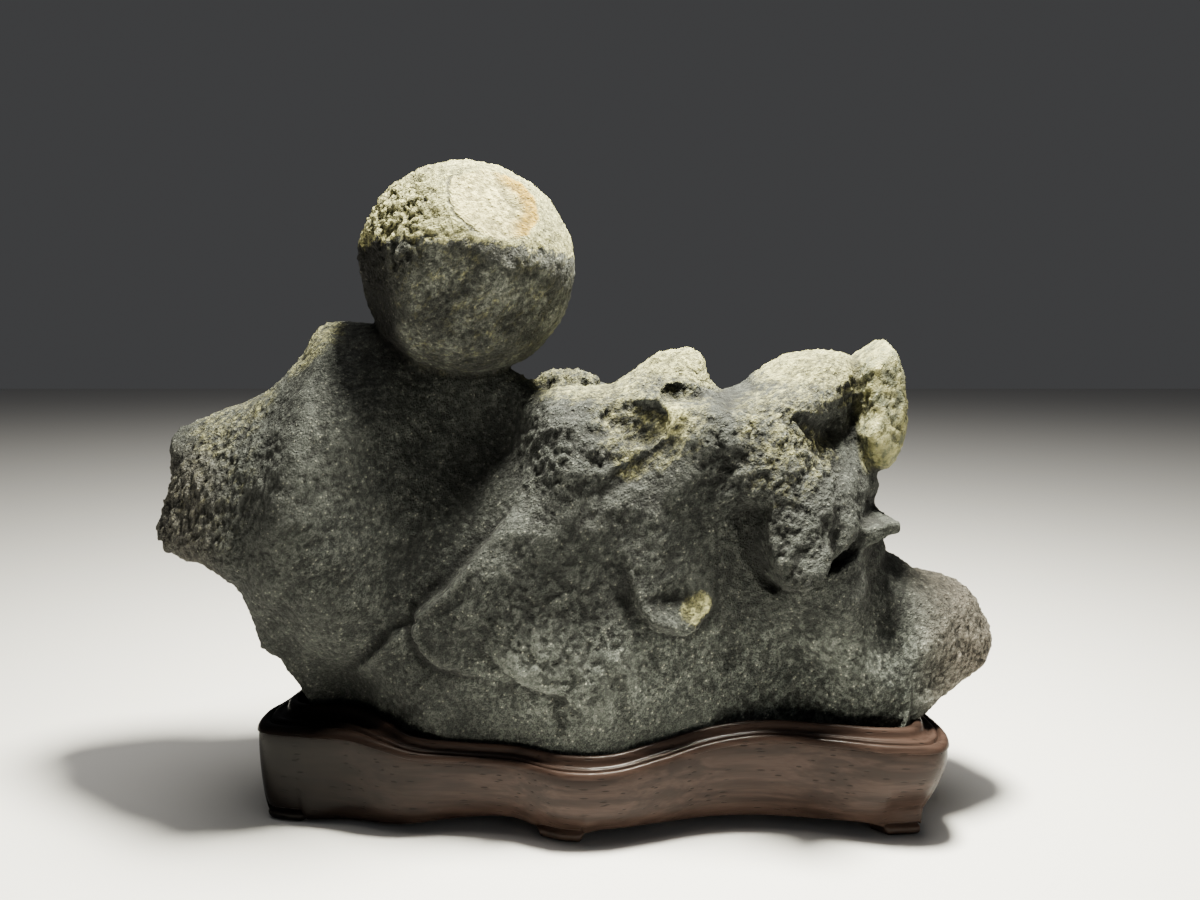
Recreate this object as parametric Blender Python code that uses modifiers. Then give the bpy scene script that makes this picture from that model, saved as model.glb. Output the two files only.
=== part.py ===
"""A scholar's rock on its carved wooden stand.

The rock is one natural stone: a wave-shaped slab with a round concretion on its crest, a
half-buried disc at its right shoulder and two tongues low on its face. The stand is carved
from one block: a lobed tray with a moulded rim, a pocket for the rock's foot and six feet.

Outlines and depths are written in millimetres, x to the right, y away from the front, z up
from the surface that the feet stand on.
"""

import math

import bmesh
import bpy
import numpy as np
from mathutils import Vector, noise

MM = 0.001

# ---------------------------------------------------------------- driving dimensions

# The middle of the whole object's box, in the frame in which the outlines are drawn.
MIDDLE = np.array((-10.6, 3.6, 0.0))

# The slab's outline seen from the front, from the ball's left side round to its right side.
SLAB_OUTLINE = (
    (-86, 192), (-104, 194), (-110, 194), (-114, 191), (-116, 187), (-119, 180), (-123, 175),
    (-130, 169), (-140, 163), (-152, 158), (-164, 154), (-172, 150), (-175, 144), (-175, 137),
    (-177, 124), (-180, 116), (-183, 110), (-181, 105), (-178, 100), (-173, 97), (-164, 95),
    (-156, 92), (-147, 85), (-144, 75), (-141, 65), (-140, 60), (-133, 55), (-128, 48),
    (-124, 42), (-120, 34), (-118, 15), (119, 15), (127, 20), (132, 25), (136, 31), (142, 38),
    (150, 43), (159, 51), (162, 57), (163, 63), (162, 69), (158, 75), (154, 81), (149, 86),
    (141, 89), (133, 91), (126, 95), (120.5, 97.5), (116.5, 100), (115.5, 104), (113, 109),
    (112, 115), (111, 122), (113, 127), (112, 140), (107, 165),
    (104, 178), (98, 181), (90, 183), (81, 182), (75, 180), (69, 176), (63, 172), (59, 168),
    (53, 166), (49, 166), (46, 168), (43, 174), (41, 180), (36, 184), (30, 183), (23, 181),
    (16, 176), (10, 172), (5, 169), (-10, 168), (-24, 168), (-34, 173), (-50, 180),
)
BLANK_HALF = 40.0      # half thickness of the blank that the faces are carved from
EDGE_LEFT = 3.0        # half thickness that is left at the outline itself
LEAST_DEPTH = 8.0      # least depth of a face before its edge is rounded
RELIEF_EDGE = 10.0     # distance from the outline over which ledges and ridges rise
# How far in from the outline a face reaches its full depth: (x, z, distance).
EDGE_ROUND = (
    (-175, 120, 11), (-150, 158, 15), (-120, 185, 20), (-150, 90, 15), (-128, 50, 12),
    (-110, 25, 6), (-50, 30, 7), (0, 30, 7), (60, 30, 7), (112, 25, 5), (112, 50, 9),
    (135, 45, 13), (160, 64, 13), (140, 90, 13), (120, 108, 18), (110, 130, 24),
    (100, 180, 22), (82, 178, 20), (54, 164, 9), (35, 182, 16), (0, 168, 13), (-50, 175, 22),
    (-50, 100, 24), (50, 100, 24),
)
# How far the slab leans away behind (or towards) the upright plane: (x, z, distance).
LEAN = (
    (-183, 110, -6), (-175, 145, 10), (-150, 158, 15), (-150, 130, 2), (-150, 98, -15),
    (-120, 182, 8), (-114, 150, 1), (-120, 112, -6), (-128, 62, -6), (-100, 196, 2),
    (-126, 46, -13), (-119, 26, -13), (-106, 32, -3), (-106, 60, 0), (-70, 172, 0),
    (-60, 120, 0), (-53, 214, 0), (-53, 258, 0), (-95, 215, 0),
    (-10, 215, 0), (0, 168, 3), (32, 184, 5), (84, 183, 4), (113, 187, 2), (118, 140, 2),
    (0, 100, 0), (0, 30, 0), (60, 130, 0), (110, 30, 0), (112, 70, 0), (122, 104, 4),
    (148, 88, 3), (163, 64, -9), (159, 52, -17), (150, 43, -24), (142, 38, -28), (136, 31, -33),
    (130, 23, -36), (119, 15, -20), (118, 46, -9),
)
EYE = np.array((0.0, -397.0, 183.0))   # the point that the outline is drawn from
LEDGE_SOFT = 1.2       # half width of the rounded step at a ledge or round a flat break
SHARE_BLEND = 4.0      # how softly a reading passes from one part of a line to the next

# Depths in front of the slab's middle plane: (x, z, depth).
FRONT_WING = (
    (-164, 135, 15), (-165, 117, 16), (-148, 150, 18), (-149, 133, 25), (-145, 113, 27),
    (-130, 145, 31), (-130, 127, 37), (-127, 158, 25), (-121, 104, 40), (-113, 165, 32),
    (-107, 186, 18), (-104, 168, 33), (-107, 153, 40), (-110, 135, 43), (-115, 119, 44),
    (-113, 89, 41), (-123, 68, 22), (-97, 82, 43), (-103, 61, 31),
)
FRONT_HOLLOW = (
    (-94, 182, 16), (-87, 163, 30), (-89, 145, 37), (-93, 123, 41), (-71, 167, 16),
    (-70, 147, 21), (-69, 125, 27), (-72, 104, 33), (-48, 166, 10), (-48, 147, 11),
    (-51, 124, 23), (-35, 162, 10), (-36, 143, 14), (-82, 93, 38), (-79, 71, 37),
)
FRONT_MIDDLE = (
    (-22, 166, 24), (-15, 154, 37), (-18, 139, 41), (-5, 163, 33), (-5, 150, 40), (5, 149, 38),
    (2, 137, 41), (0, 126, 43),
    (-29, 117, 42), (-44, 95, 43), (-59, 79, 42), (-18, 100, 44), (7, 100, 43), (0, 76, 45.5),
    (-22, 56, 48), (-40, 69, 45), (-88, 50, 29), (-64, 52, 42),
)
FRONT_SPUR = (
    (24, 178, 16), (36, 178, 14), (12, 166, 32), (23, 168, 32), (37, 158, 38), (10, 154, 34),
    (18, 149, 35.5), (16, 138, 38),
    (46, 163, 36), (42, 149, 41), (29, 128, 40), (50, 133, 41), (52, 118, 38), (36, 106, 39),
    (56, 99, 36),
    (44, 92, 38.5), (33, 78, 42), (18, 54, 49), (52, 57, 40), (52, 80, 37),
)
FRONT_RIGHT = (
    (70, 173, 20), (86, 176, 20), (76, 165, 31), (96, 171, 20), (58, 157, 38), (70, 149, 38),
    (89, 149, 20), (103, 150, 12), (54, 145, 41), (63, 135, 43), (78, 126, 43.5), (94, 131, 35),
    (96, 118, 41), (80, 113, 47.5), (72, 102, 49), (88, 101, 45), (104, 118, 31), (111, 107, 26),
    (94, 88, 41), (107, 92, 28), (108, 76, 30), (124, 91, 25), (135, 84, 26), (147, 76, 20),
    (126, 70, 31), (141, 66, 21), (153, 63, 13), (130, 50, 19), (145, 50, 11), (101, 64, 41),
    (93, 52, 45.5), (92, 70, 42), (116, 46, 31), (74, 69, 38), (72, 50, 41.5),
)
BACK = (
    (-165, 125, 15), (-148, 137, 24), (-125, 142, 33), (-110, 168, 26), (-100, 184, 20),
    (-118, 100, 38), (-133, 76, 20), (-100, 60, 40), (-80, 168, 28), (-82, 130, 44),
    (-70, 92, 52), (-62, 52, 46), (-45, 165, 31), (-40, 130, 47), (-32, 92, 55), (-15, 60, 49),
    (-14, 162, 34), (5, 140, 42), (15, 102, 52), (25, 165, 22), (36, 177, 14), (34, 130, 38),
    (40, 72, 50), (60, 150, 28), (74, 170, 20), (92, 168, 22), (74, 122, 45), (80, 82, 52),
    (100, 148, 20), (103, 112, 30), (116, 82, 40), (140, 76, 22), (154, 62, 13),
    (110, 52, 38), (2, 46, 46), (70, 50, 44),
)

# Ledges: (line, rise, reach). The left-hand side of the line stands proud by rise.
FRONT_LEDGES = (
    (((-31, 125), (-38, 115), (-46, 107), (-56, 96), (-64, 89), (-69, 84), (-70, 78), (-67, 71),
      (-61, 66), (-55, 65)), 10.0, 22.0),
    (((-72, 79), (-78, 76), (-88, 66), (-97, 57)), 6.5, 18.0),
    (((-40, 72), (-34, 66), (-24, 58), (-13, 55), (-8, 50)), 6.0, 16.0),
    (((12, 94), (14, 88), (19, 82), (25, 80), (31, 78), (37, 82), (42, 88), (42, 94)), 8.0, 9.0),
    (((54, 127), (57, 120), (59, 113), (61, 106), (63.5, 99), (68, 95), (75, 97), (80, 101),
      (83, 107), (84, 114)), 13.0, 18.0),
    (((66, 161), (74, 158), (82, 156), (90, 155), (99, 159)), 2.6, 13.0),
    (((0, 158), (5, 162), (12, 163.5), (20, 163), (28, 168), (38, 169)), 2.4, 6.0),
    (((6, 141), (0, 139), (-6, 141)), 2.5, 8.0),
)
BACK_LEDGES = (
    (((96, 128), (70, 112), (44, 104), (16, 84), (-6, 76)), 10.0, 22.0),
    (((-128, 118), (-108, 104), (-92, 84), (-84, 62)), 9.0, 18.0),
    (((-58, 146), (-34, 138), (-14, 142)), 8.0, 13.0),
    (((146, 72), (124, 62), (102, 64), (80, 52)), 8.0, 16.0),
    (((-152, 140), (-141, 124), (-136, 106)), 6.0, 12.0),
    (((-44, 92), (-26, 70), (-4, 58), (20, 50)), 7.0, 16.0),
)

# Ridges and grooves: (line, rise, width), a groove having a negative rise.
FRONT_RIDGES = (
    (((-111, 182), (-110, 160), (-113, 140), (-119, 121), (-130, 102)), 4.0, 7.0),
    (((42, 171), (37, 154), (31, 140), (22, 126)), 3.0, 9.0),
    (((33, 165), (29, 161), (25, 155), (20, 149), (14, 145), (7, 142)), 2.6, 2.4),
    (((24, 83), (31, 82), (37, 85), (41, 90)), 3.0, 3.4),
    (((42, 124), (46, 128), (51, 133)), 3.5, 4.0),
    (((86, 100), (94, 80), (100, 58)), 4.0, 11.0),
    (((8, 62), (9, 48), (9, 38)), -3.0, 3.5),
    (((-16, 56), (-15, 46), (-14, 38)), -2.5, 3.5),
    (((102, 176), (102.5, 168), (102, 160), (101, 150)), -6.0, 1.9),
)
BACK_RIDGES = (
    (((-60, 160), (-66, 130), (-58, 100), (-62, 70)), 5.0, 12.0),
    (((60, 164), (52, 140), (56, 110), (48, 84)), 4.0, 10.0),
    (((-6, 132), (2, 110), (-4, 88)), -4.0, 8.0),
)

# Flat breaks: (outline, three readings (x, z, depth) of the plane that the face is broken to).
FRONT_BREAKS = (
    (((0, 158), (4, 153), (11, 148.5), (18, 147.5), (24, 152), (25.5, 158), (22, 162), (11, 163),
      (2, 161.5)), ((2, 160, 30.0), (24, 160, 33.5), (14, 148, 33.8))),
    (((24, 164.5), (30, 163.5), (37, 164), (39, 167), (35, 170), (29, 170), (24, 168)),
     ((24, 166, 27.5), (38, 166, 26.5), (31, 170, 25.5))),
    (((53, 122), (52.5, 113), (54.5, 104), (59, 96), (65, 91.5), (68, 93), (63.5, 99), (61, 107),
      (59.5, 116), (61, 124), (57, 126)), ((54, 124, 33.5), (61, 124, 34.0), (64, 94, 34.0))),
)

# Dents: (x, z, half width, half height, depth, turn in degrees).
FRONT_DENTS = (
    (88, 150, 9, 5, 5, 0), (56, 122, 5, 7, 5, -35), (9, 90, 3, 5, 4, 10),
    (26, 91, 8, 4, 3, 0),
    (-66, 78, 4, 9, 3, 10), (4, 134, 12, 5, 2, 20),
)
BACK_DENTS = (
    (-20, 112, 16, 11, 7, 20), (88, 98, 12, 9, 6, 0), (-104, 136, 12, 10, 6, 0),
    (28, 150, 10, 8, 5, 0),
)

# The round concretion on the crest, with the planes that it is worn or broken flat on:
# (direction, distance from the centre as a share of the radius, how much is taken away).
BALL_CENTRE = np.array((-53.0, -5.0, 214.2))
BALL_HALF = np.array((42.6, 42.6, 41.8))
BALL_FLATS = (
    ((0.37, -0.74, 0.56), 0.91, 1.0),
    ((-0.86, -0.46, -0.20), 0.87, 0.9),
    ((0.06, -0.95, -0.34), 0.90, 0.9),
    ((0.62, -0.66, -0.42), 0.92, 0.8),
    ((-0.45, -0.50, 0.74), 0.96, 0.8),
    ((0.80, 0.30, -0.45), 0.95, 0.7),
    ((0.10, 0.90, 0.30), 0.93, 0.8),
)

# The broken disc at the right shoulder, a plate on edge whose face looks a little to the right.
DISC_OUTLINE = (
    (114, 187), (119, 181), (122, 172), (123, 162), (123, 152), (121, 144), (117, 137),
    (113, 134), (109, 135), (103, 141), (101, 150), (103, 158), (102, 168), (102, 178),
    (107, 182),
)
DISC_FRONT = ((102, 160, 23), (123, 160, 16), (112, 186, 15), (112, 136, 22), (112, 160, 19))
DISC_BACK = ((102, 160, 20), (123, 160, 9), (112, 186, 12), (112, 136, 16), (112, 160, 17))
DISC_ROUND = 6.0

# The lump behind the crest, between the ball and the spur.
LUMP_CENTRE = np.array((-15.0, 22.0, 163.0))
LUMP_HALF = np.array((19.0, 13.0, 11.5))

# The stand's rim, station by station, from the left end along the front and back again:
# (outer x, outer y, inner x, inner y, height of the shoulder).
RIM = (
    (-130, -8, -121.5, -4, 38), (-134, -22, -122.5, -15, 38), (-131, -37, -117, -21, 38),
    (-113, -42, -104, -20, 38), (-96, -45, -92, -25, 38), (-83, -49, -80, -37, 36),
    (-70, -51, -69, -43, 33), (-52, -50, -52, -43, 31), (-32, -53, -32, -45, 30.5),
    (-14, -60, -14, -51, 29.5), (4, -60, 4, -51, 29.5), (22, -55, 20, -46, 32),
    (42, -49, 41, -41, 36), (62, -48, 62, -40, 38.5), (84, -52, 83, -43, 38.5),
    (107, -57, 104, -46, 38), (125, -55, 116, -43, 37.5), (132, -42, 121, -33, 37.5),
    (130, -18, 121, -14, 38), (129, 8, 120, 8, 38), (128, 32, 118, 28, 38),
    (120, 47, 111, 38, 37), (100, 51, 97, 42, 36), (74, 48, 72, 40, 34),
    (46, 49, 45, 41, 33), (20, 56, 19, 47, 33), (-8, 57, -8, 48, 34), (-36, 52, -36, 43, 35),
    (-66, 48, -65, 40, 36), (-92, 51, -90, 42, 37), (-113, 49, -107, 40, 37.5),
    (-124, 34, -115, 27, 38), (-127, 12, -119, 10, 38),
)
FEET = (2.35, 8.85, 15.5, 20.9, 25.5, 30.6)   # where the feet stand, in stations of the rim
POCKET_FLOOR = 14.0
UNDERSIDE = 6.5
SEAT_GAP = 0.9         # between the rock's foot and the pocket's wall
SEAT_LEFT, SEAT_RIGHT = -120.5, 119.6   # how far the foot reaches sideways in the pocket
SEAT_CORNER = 118.5    # x at which the pocket's rounded corners begin
SEAT_CLEAR = 4.0       # height above the rim's shoulder up to which the foot must fit the pocket
SEAT_RISE = 32.0       # height over which the foot is drawn in to the pocket's width
SEAT_END, SEAT_FADE = 140.0, 13.0       # beyond this x, over this length, nothing is drawn in

# Section of the rim from the pocket outwards: (share of the way in from the outer edge,
# height above the shoulder). A round lip, a hollow and a bead.
RIM_SECTION = (
    (1.00, 1.6), (0.92, 3.4), (0.80, 3.9), (0.70, 2.0), (0.56, 0.3), (0.42, 0.8),
    (0.30, -0.5), (0.16, 0.4), (0.03, -0.5), (0.0, -2.0),
)
# Section of the wall below it: (share of the wall's height, how far it is set in), and the
# same at the left and right ends.
WALL_SECTION = ((0.84, 0.5), (0.55, 1.1), (0.30, 2.5), (0.12, 4.5), (0.0, 6.5))
WALL_LEFT = (0.45, 0.7, 1.4, 2.3, 3.4)
WALL_RIGHT = (0.4, 2.9, 6.5, 8.6, 8.8)
LEFT_END = (-96, 24)   # x at which an end's section begins to take over, and over what length
RIGHT_END = (92, 26)
# Height of the apron's lower edge along the front: (x, height); elsewhere APRON_UP.
APRON_FRONT = (
    (-128, 1.2), (-96, 1.4), (-78, 2.3), (-57, 4.5), (-40, 6.4), (-20, 6.2), (0, 5.6), (19, 5.3),
    (37, 4.9), (64, 4.9), (94, 5.6), (125, 5.6),
)
APRON_UP = 5.2
BRACKET = 11.0         # length of the curve that runs from the apron's edge down to a foot
BRACKET_DOWN = 3.9     # height at which the curve meets the foot
FOOT_HALF = 8.8        # half a foot's length along the rim
FOOT_END = 3.0         # length over which a foot's end is rounded off
# Section of a foot from its neck down: (height, how far it is set in from the wall's base).
FOOT_SECTION = ((5.5, 0.0), (4.5, 1.0), (3.2, -0.4), (0.0, 1.2))
APRON_SECTION = 1.2    # how far the apron's lower edge turns in
FOOT_DEEP = 15.0       # how far in from the rim the feet reach
STATION_SHARES = 40    # steps in which the rim is measured between two of its stations
RIM_DROP = 2.0         # how far below the shoulder the wall begins
STAND_STATIONS = 108   # stations round the rim that the stand is lofted through

ROUGH_VOXEL = 2.2      # cell of the carved blank
ROCK_VOXEL = 2.0       # cell that joins slab, ball, disc and lump
ROCK_TRIANGLES = 5600  # triangles that are kept of the rock

GRAIN_ALONG = (0.64, 0.77)   # direction in x and z in which the slanting grain runs
GRAIN_CELL = (8.0, 16.0, 34.0)   # size of the grain across it, in depth and along it
GRAIN_RISE = 0.8
LUMP_CELL = 26.0       # size and height of the uneven lumps
LUMP_RISE = 1.5
BALL_REACH = 1.06      # the ball with its skin, as a share of its half sizes
BALL_QUIET = 0.45      # how much of the unevenness the ball has


# ---------------------------------------------------------------- fields on the slab's faces

def thin_plate(soundings):
    """A smooth surface through (x, z, depth) readings, as a function of x and z."""
    known = np.array(soundings, float)

    def kernel(ax, az, bx, bz):
        square = (ax[:, None] - bx[None]) ** 2 + (az[:, None] - bz[None]) ** 2
        return 0.5 * square * np.log(square + 1e-9)

    count = len(known)
    plane = np.column_stack((np.ones(count), known[:, 0], known[:, 1]))
    system = np.zeros((count + 3, count + 3))
    system[:count, :count] = kernel(known[:, 0], known[:, 1], known[:, 0], known[:, 1])
    system[:count, count:] = plane
    system[count:, :count] = plane.T
    answer = np.linalg.solve(system, np.concatenate((known[:, 2], np.zeros(3))))

    def depth(x, z):
        bent = kernel(x, z, known[:, 0], known[:, 1]) @ answer[:count]
        return bent + answer[count] + answer[count + 1] * x + answer[count + 2] * z

    return depth


def read_line(x, z, line, closed=False):
    """Distance to a line of points, side (+1 on its left), and how far along the near part is."""
    line = np.array(line, float)
    starts = line if closed else line[:-1]
    ends = np.roll(line, -1, axis=0) if closed else line[1:]
    lengths = np.linalg.norm(ends - starts, axis=1)
    run = np.concatenate(((0,), np.cumsum(lengths)))
    nearest = np.full(len(x), 1e9)
    side = np.ones(len(x))
    readings = []
    for (ax, az), (bx, bz), length, before in zip(starts, ends, lengths, run):
        dx, dz = (bx - ax) / length, (bz - az) / length
        along = np.clip((x - ax) * dx + (z - az) * dz, 0, length)
        gap = np.hypot(x - ax - along * dx, z - az - along * dz)
        left = np.where(dx * (z - az) - dz * (x - ax) >= 0, 1.0, -1.0)
        side = np.where(gap < nearest, left, side)
        nearest = np.minimum(gap, nearest)
        readings.append((gap, (before + along) / run[-1]))
    if closed:
        return nearest, side, None
    weight = sum(np.exp((nearest - gap) / SHARE_BLEND) for gap, _ in readings)
    share = sum(np.exp((nearest - gap) / SHARE_BLEND) * part for gap, part in readings) / weight
    return nearest, side, share


def ledges(x, z, table):
    """Steps: full height at the line, easing away on the proud side, a short moat below."""
    total = np.zeros(len(x))
    for line, rise, reach in table:
        gap, side, share = read_line(x, z, line)
        fade = np.sqrt(np.clip(np.sin(math.pi * share), 0, 1))
        proud = rise * np.exp(-gap / reach)
        moat = -0.35 * rise * np.exp(-gap / (0.2 * reach))
        upper = ease(0.5 + 0.5 * side * gap / LEDGE_SOFT)
        total += fade * (proud * upper + moat * (1 - upper))
    return total


def ridges(x, z, table):
    total = np.zeros(len(x))
    for line, rise, width in table:
        gap, _, share = read_line(x, z, line)
        fade = np.sqrt(np.clip(np.sin(math.pi * np.clip(share, 0.03, 0.97)), 0, 1))
        total += fade * rise * np.exp(-((gap / width) ** 2))
    return total


def dents(x, z, table):
    total = np.zeros(len(x))
    for cx, cz, wide, high, deep, turn in table:
        cosine, sine = math.cos(math.radians(turn)), math.sin(math.radians(turn))
        across = (x - cx) * cosine + (z - cz) * sine
        up = (z - cz) * cosine - (x - cx) * sine
        total -= deep * np.exp(-((across / wide) ** 2) - (up / high) ** 2)
    return total


def broken(x, z, depth, table):
    """The depth with the face broken flat inside each outline, drawn anticlockwise."""
    for outline, readings in table:
        plane = np.linalg.solve([(1, px, pz) for px, pz, _ in readings], [d for *_, d in readings])
        gap, side, _ = read_line(x, z, outline, closed=True)
        share = ease(0.5 + 0.5 * side * gap / LEDGE_SOFT)
        depth = depth + (plane[0] + plane[1] * x + plane[2] * z - depth) * share
    return depth


def ease(value):
    """0 below 0, 1 above 1, and a smooth climb between."""
    held = np.clip(value, 0, 1)
    return held * held * (3 - 2 * held)


def rim_line(count, spread=None):
    """The rim's stations on a smooth closed curve, at even or at given parameters."""
    table = np.array(RIM, float)
    at = np.arange(count) * len(table) / count if spread is None else spread
    index = np.floor(at).astype(int)
    part = (at - index)[:, None]
    before, here, after, beyond = (table[(index + step) % len(table)] for step in (-1, 0, 1, 2))
    return 0.5 * (
        2 * here
        + (after - before) * part
        + (2 * before - 5 * here + 4 * after - beyond) * part**2
        + (3 * here - before - 3 * after + beyond) * part**3
    )


def seat_depth(x, front):
    """How deep the pocket reaches at x, in front of or behind the middle plane."""
    inner = rim_line(12 * len(RIM))[:, 2:4]
    inner = inner[inner[:, 1] < 0] if front else inner[inner[:, 1] > 0]
    order = np.argsort(inner[:, 0])
    return np.interp(x, inner[order, 0], np.abs(inner[order, 1])) - SEAT_GAP


def front_rim_height():
    """The shoulder's height along the front, as sorted x and height."""
    rim = rim_line(12 * len(RIM))
    front = rim[rim[:, 1] < 0]
    order = np.argsort(front[:, 0])
    return front[order, 0], front[order, 4]


def rounded(inside, reach):
    """A quarter round: 0 at the outline, 1 from reach inwards."""
    return np.sqrt(1 - (1 - np.clip(inside / reach, 0, 1)) ** 2)


def slab_depth(x, z, front):
    """The slab's depth on one face, in millimetres from its middle plane."""
    if front:
        soundings = FRONT_WING + FRONT_HOLLOW + FRONT_MIDDLE + FRONT_SPUR + FRONT_RIGHT
        tables = FRONT_LEDGES, FRONT_RIDGES, FRONT_DENTS
    else:
        soundings = BACK
        tables = BACK_LEDGES, BACK_RIDGES, BACK_DENTS
    relief = ledges(x, z, tables[0]) + ridges(x, z, tables[1]) + dents(x, z, tables[2])
    inside, _, _ = read_line(x, z, SLAB_OUTLINE, closed=True)
    reach = np.clip(thin_plate(EDGE_ROUND)(x, z), 4, 26)
    depth = np.maximum(thin_plate(soundings)(x, z), LEAST_DEPTH) * rounded(inside, reach)
    depth = np.maximum(depth + relief * ease(inside / RELIEF_EDGE), 0)
    return broken(x, z, depth, FRONT_BREAKS if front else ()) + EDGE_LEFT


def disc_depth(x, z, front):
    inside, _, _ = read_line(x, z, DISC_OUTLINE, closed=True)
    depth = thin_plate(DISC_FRONT if front else DISC_BACK)(x, z)
    return depth * rounded(inside, DISC_ROUND) + EDGE_LEFT


# ---------------------------------------------------------------- scene helpers

def clear_scene():
    for old in list(bpy.data.objects):
        bpy.data.objects.remove(old, do_unlink=True)


def make_material(name, colour, roughness):
    material = bpy.data.materials.new(name)
    material.use_nodes = True
    shader = material.node_tree.nodes["Principled BSDF"]
    shader.inputs["Base Color"].default_value = (*colour, 1)
    shader.inputs["Roughness"].default_value = roughness
    shader.inputs["Metallic"].default_value = 0.0
    return material


def add_object(name, mesh, collection):
    made = bpy.data.objects.new(name, mesh)
    collection.objects.link(made)
    return made


def settle(target):
    """Bake an object's modifiers into its mesh."""
    graph = bpy.context.evaluated_depsgraph_get()
    mesh = bpy.data.meshes.new_from_object(target.evaluated_get(graph))
    old = target.data
    target.modifiers.clear()
    target.data = mesh
    bpy.data.meshes.remove(old)


def remesh(target, cell):
    cells = target.modifiers.new("Cells", "REMESH")
    cells.mode = "VOXEL"
    cells.voxel_size = cell * MM
    settle(target)


def read_points(mesh):
    points = np.empty(len(mesh.vertices) * 3)
    mesh.vertices.foreach_get("co", points)
    return points.reshape(-1, 3) / MM


def write_points(mesh, points):
    mesh.vertices.foreach_set("co", (points * MM).ravel())
    mesh.update()


# ---------------------------------------------------------------- the rock

def make_plate(name, outline, depth_at, collection):
    """A plate: its outline cut from a blank, then both faces carved to their depths."""
    drawing = bpy.data.curves.new(name + "_outline", "CURVE")
    drawing.dimensions = "2D"
    drawing.fill_mode = "BOTH"
    drawing.extrude = BLANK_HALF * MM
    spline = drawing.splines.new("POLY")
    spline.points.add(len(outline) - 1)
    for point, (x, z) in zip(spline.points, outline):
        point.co = (x * MM, z * MM, 0, 1)
    spline.use_cyclic_u = True
    drawn = add_object(name + "_drawn", drawing, collection)
    graph = bpy.context.evaluated_depsgraph_get()
    mesh = bpy.data.meshes.new_from_object(drawn.evaluated_get(graph))
    bpy.data.objects.remove(drawn)
    shape = bmesh.new()
    shape.from_mesh(mesh)
    bmesh.ops.remove_doubles(shape, verts=shape.verts, dist=0.01 * MM)
    for vert in shape.verts:
        vert.co = Vector((vert.co.x, -vert.co.z, vert.co.y))
    bmesh.ops.recalc_face_normals(shape, faces=shape.faces)
    shape.to_mesh(mesh)
    shape.free()
    plate = add_object(name, mesh, collection)
    remesh(plate, ROUGH_VOXEL)
    points = read_points(plate.data)
    x, z = points[:, 0], points[:, 2]
    level = np.clip(points[:, 1] / BLANK_HALF, -1, 1)
    points[:, 1] = level * np.where(level < 0, depth_at(x, z, True), depth_at(x, z, False))
    write_points(plate.data, points)
    return plate


def wear_flat(points, flats):
    """Press unit-sphere points back to the planes that the ball is worn flat on."""
    for direction, reach, taken in flats:
        normal = np.array(direction) / np.linalg.norm(direction)
        over = points @ normal - reach
        points = points - np.outer(np.clip(over, 0, None) * taken, normal)
    return points


def make_round(name, centre, half, flats, collection):
    """A sphere worn flat in places, stretched to its half sizes and put in place."""
    shape = bmesh.new()
    bmesh.ops.create_icosphere(shape, subdivisions=5, radius=1)
    mesh = bpy.data.meshes.new(name)
    shape.to_mesh(mesh)
    shape.free()
    sphere = read_points(mesh) * MM
    write_points(mesh, wear_flat(sphere, flats) * half + centre)
    return add_object(name, mesh, collection)


def join(name, pieces, collection):
    """One mesh holding all the pieces, with the pieces' own objects removed."""
    shape = bmesh.new()
    for piece in pieces:
        shape.from_mesh(piece.data)
    mesh = bpy.data.meshes.new(name)
    shape.to_mesh(mesh)
    shape.free()
    for piece in pieces:
        bpy.data.objects.remove(piece)
    return add_object(name, mesh, collection)


def lean(rock):
    """Slide each part nearer or farther along its line of sight, so the outline stays."""
    points = read_points(rock.data)
    away = thin_plate(LEAN)(points[:, 0], points[:, 2])
    grown = 1 + away / (points[:, 1] - EYE[1])
    write_points(rock.data, EYE + (points - EYE) * grown[:, None])


def weather(rock):
    """Uneven lumps and worn hollows all over, and a slanting grain across the face."""
    mesh = rock.data
    points = read_points(mesh)
    normals = np.empty(len(mesh.vertices) * 3)
    mesh.vertices.foreach_get("normal", normals)
    normals = normals.reshape(-1, 3)
    shift = np.zeros(len(points))
    for index, (x, y, z) in enumerate(points):
        lumps = noise.fractal(Vector((x, y, z)) / LUMP_CELL, 0.9, 2.1, 4)
        along = GRAIN_ALONG[0] * x + GRAIN_ALONG[1] * z
        across = GRAIN_ALONG[1] * x - GRAIN_ALONG[0] * z
        place = (across / GRAIN_CELL[0], y / GRAIN_CELL[1], along / GRAIN_CELL[2])
        shift[index] = LUMP_RISE * lumps + GRAIN_RISE * noise.noise(Vector(place))
    on_ball = np.linalg.norm((points - BALL_CENTRE) / BALL_HALF, axis=1) < BALL_REACH
    shift[on_ball] *= BALL_QUIET
    write_points(mesh, points + normals * shift[:, None])


def fit_seat(rock):
    """Draw the rock's foot in so that it stands inside the stand's pocket."""
    points = read_points(rock.data)
    x, y, z = points.T
    rim = np.interp(x, *front_rim_height())
    inside = ease((x + SEAT_END) / SEAT_FADE) * ease((SEAT_END - x) / SEAT_FADE)
    held = 1 - ease((z - rim - SEAT_CLEAR) / SEAT_RISE)
    below = z < rim + SEAT_CLEAR
    corner = np.clip(x, -SEAT_CORNER, SEAT_CORNER)
    for front in (True, False):
        limit = np.where(below, seat_depth(x, front), seat_depth(corner, front))
        facing = y < 0 if front else y > 0
        excess = np.clip(np.abs(y) - limit, 0, None)
        pulled = np.where(facing, excess * held * inside, 0)
        y = y + pulled * (1 if front else -1)
    points[:, 1] = y
    points[:, 0] = np.where(below, np.clip(x, SEAT_LEFT, SEAT_RIGHT), x)
    points[:, 2] = np.maximum(z, POCKET_FLOOR + 0.5)
    write_points(rock.data, points)


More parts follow.
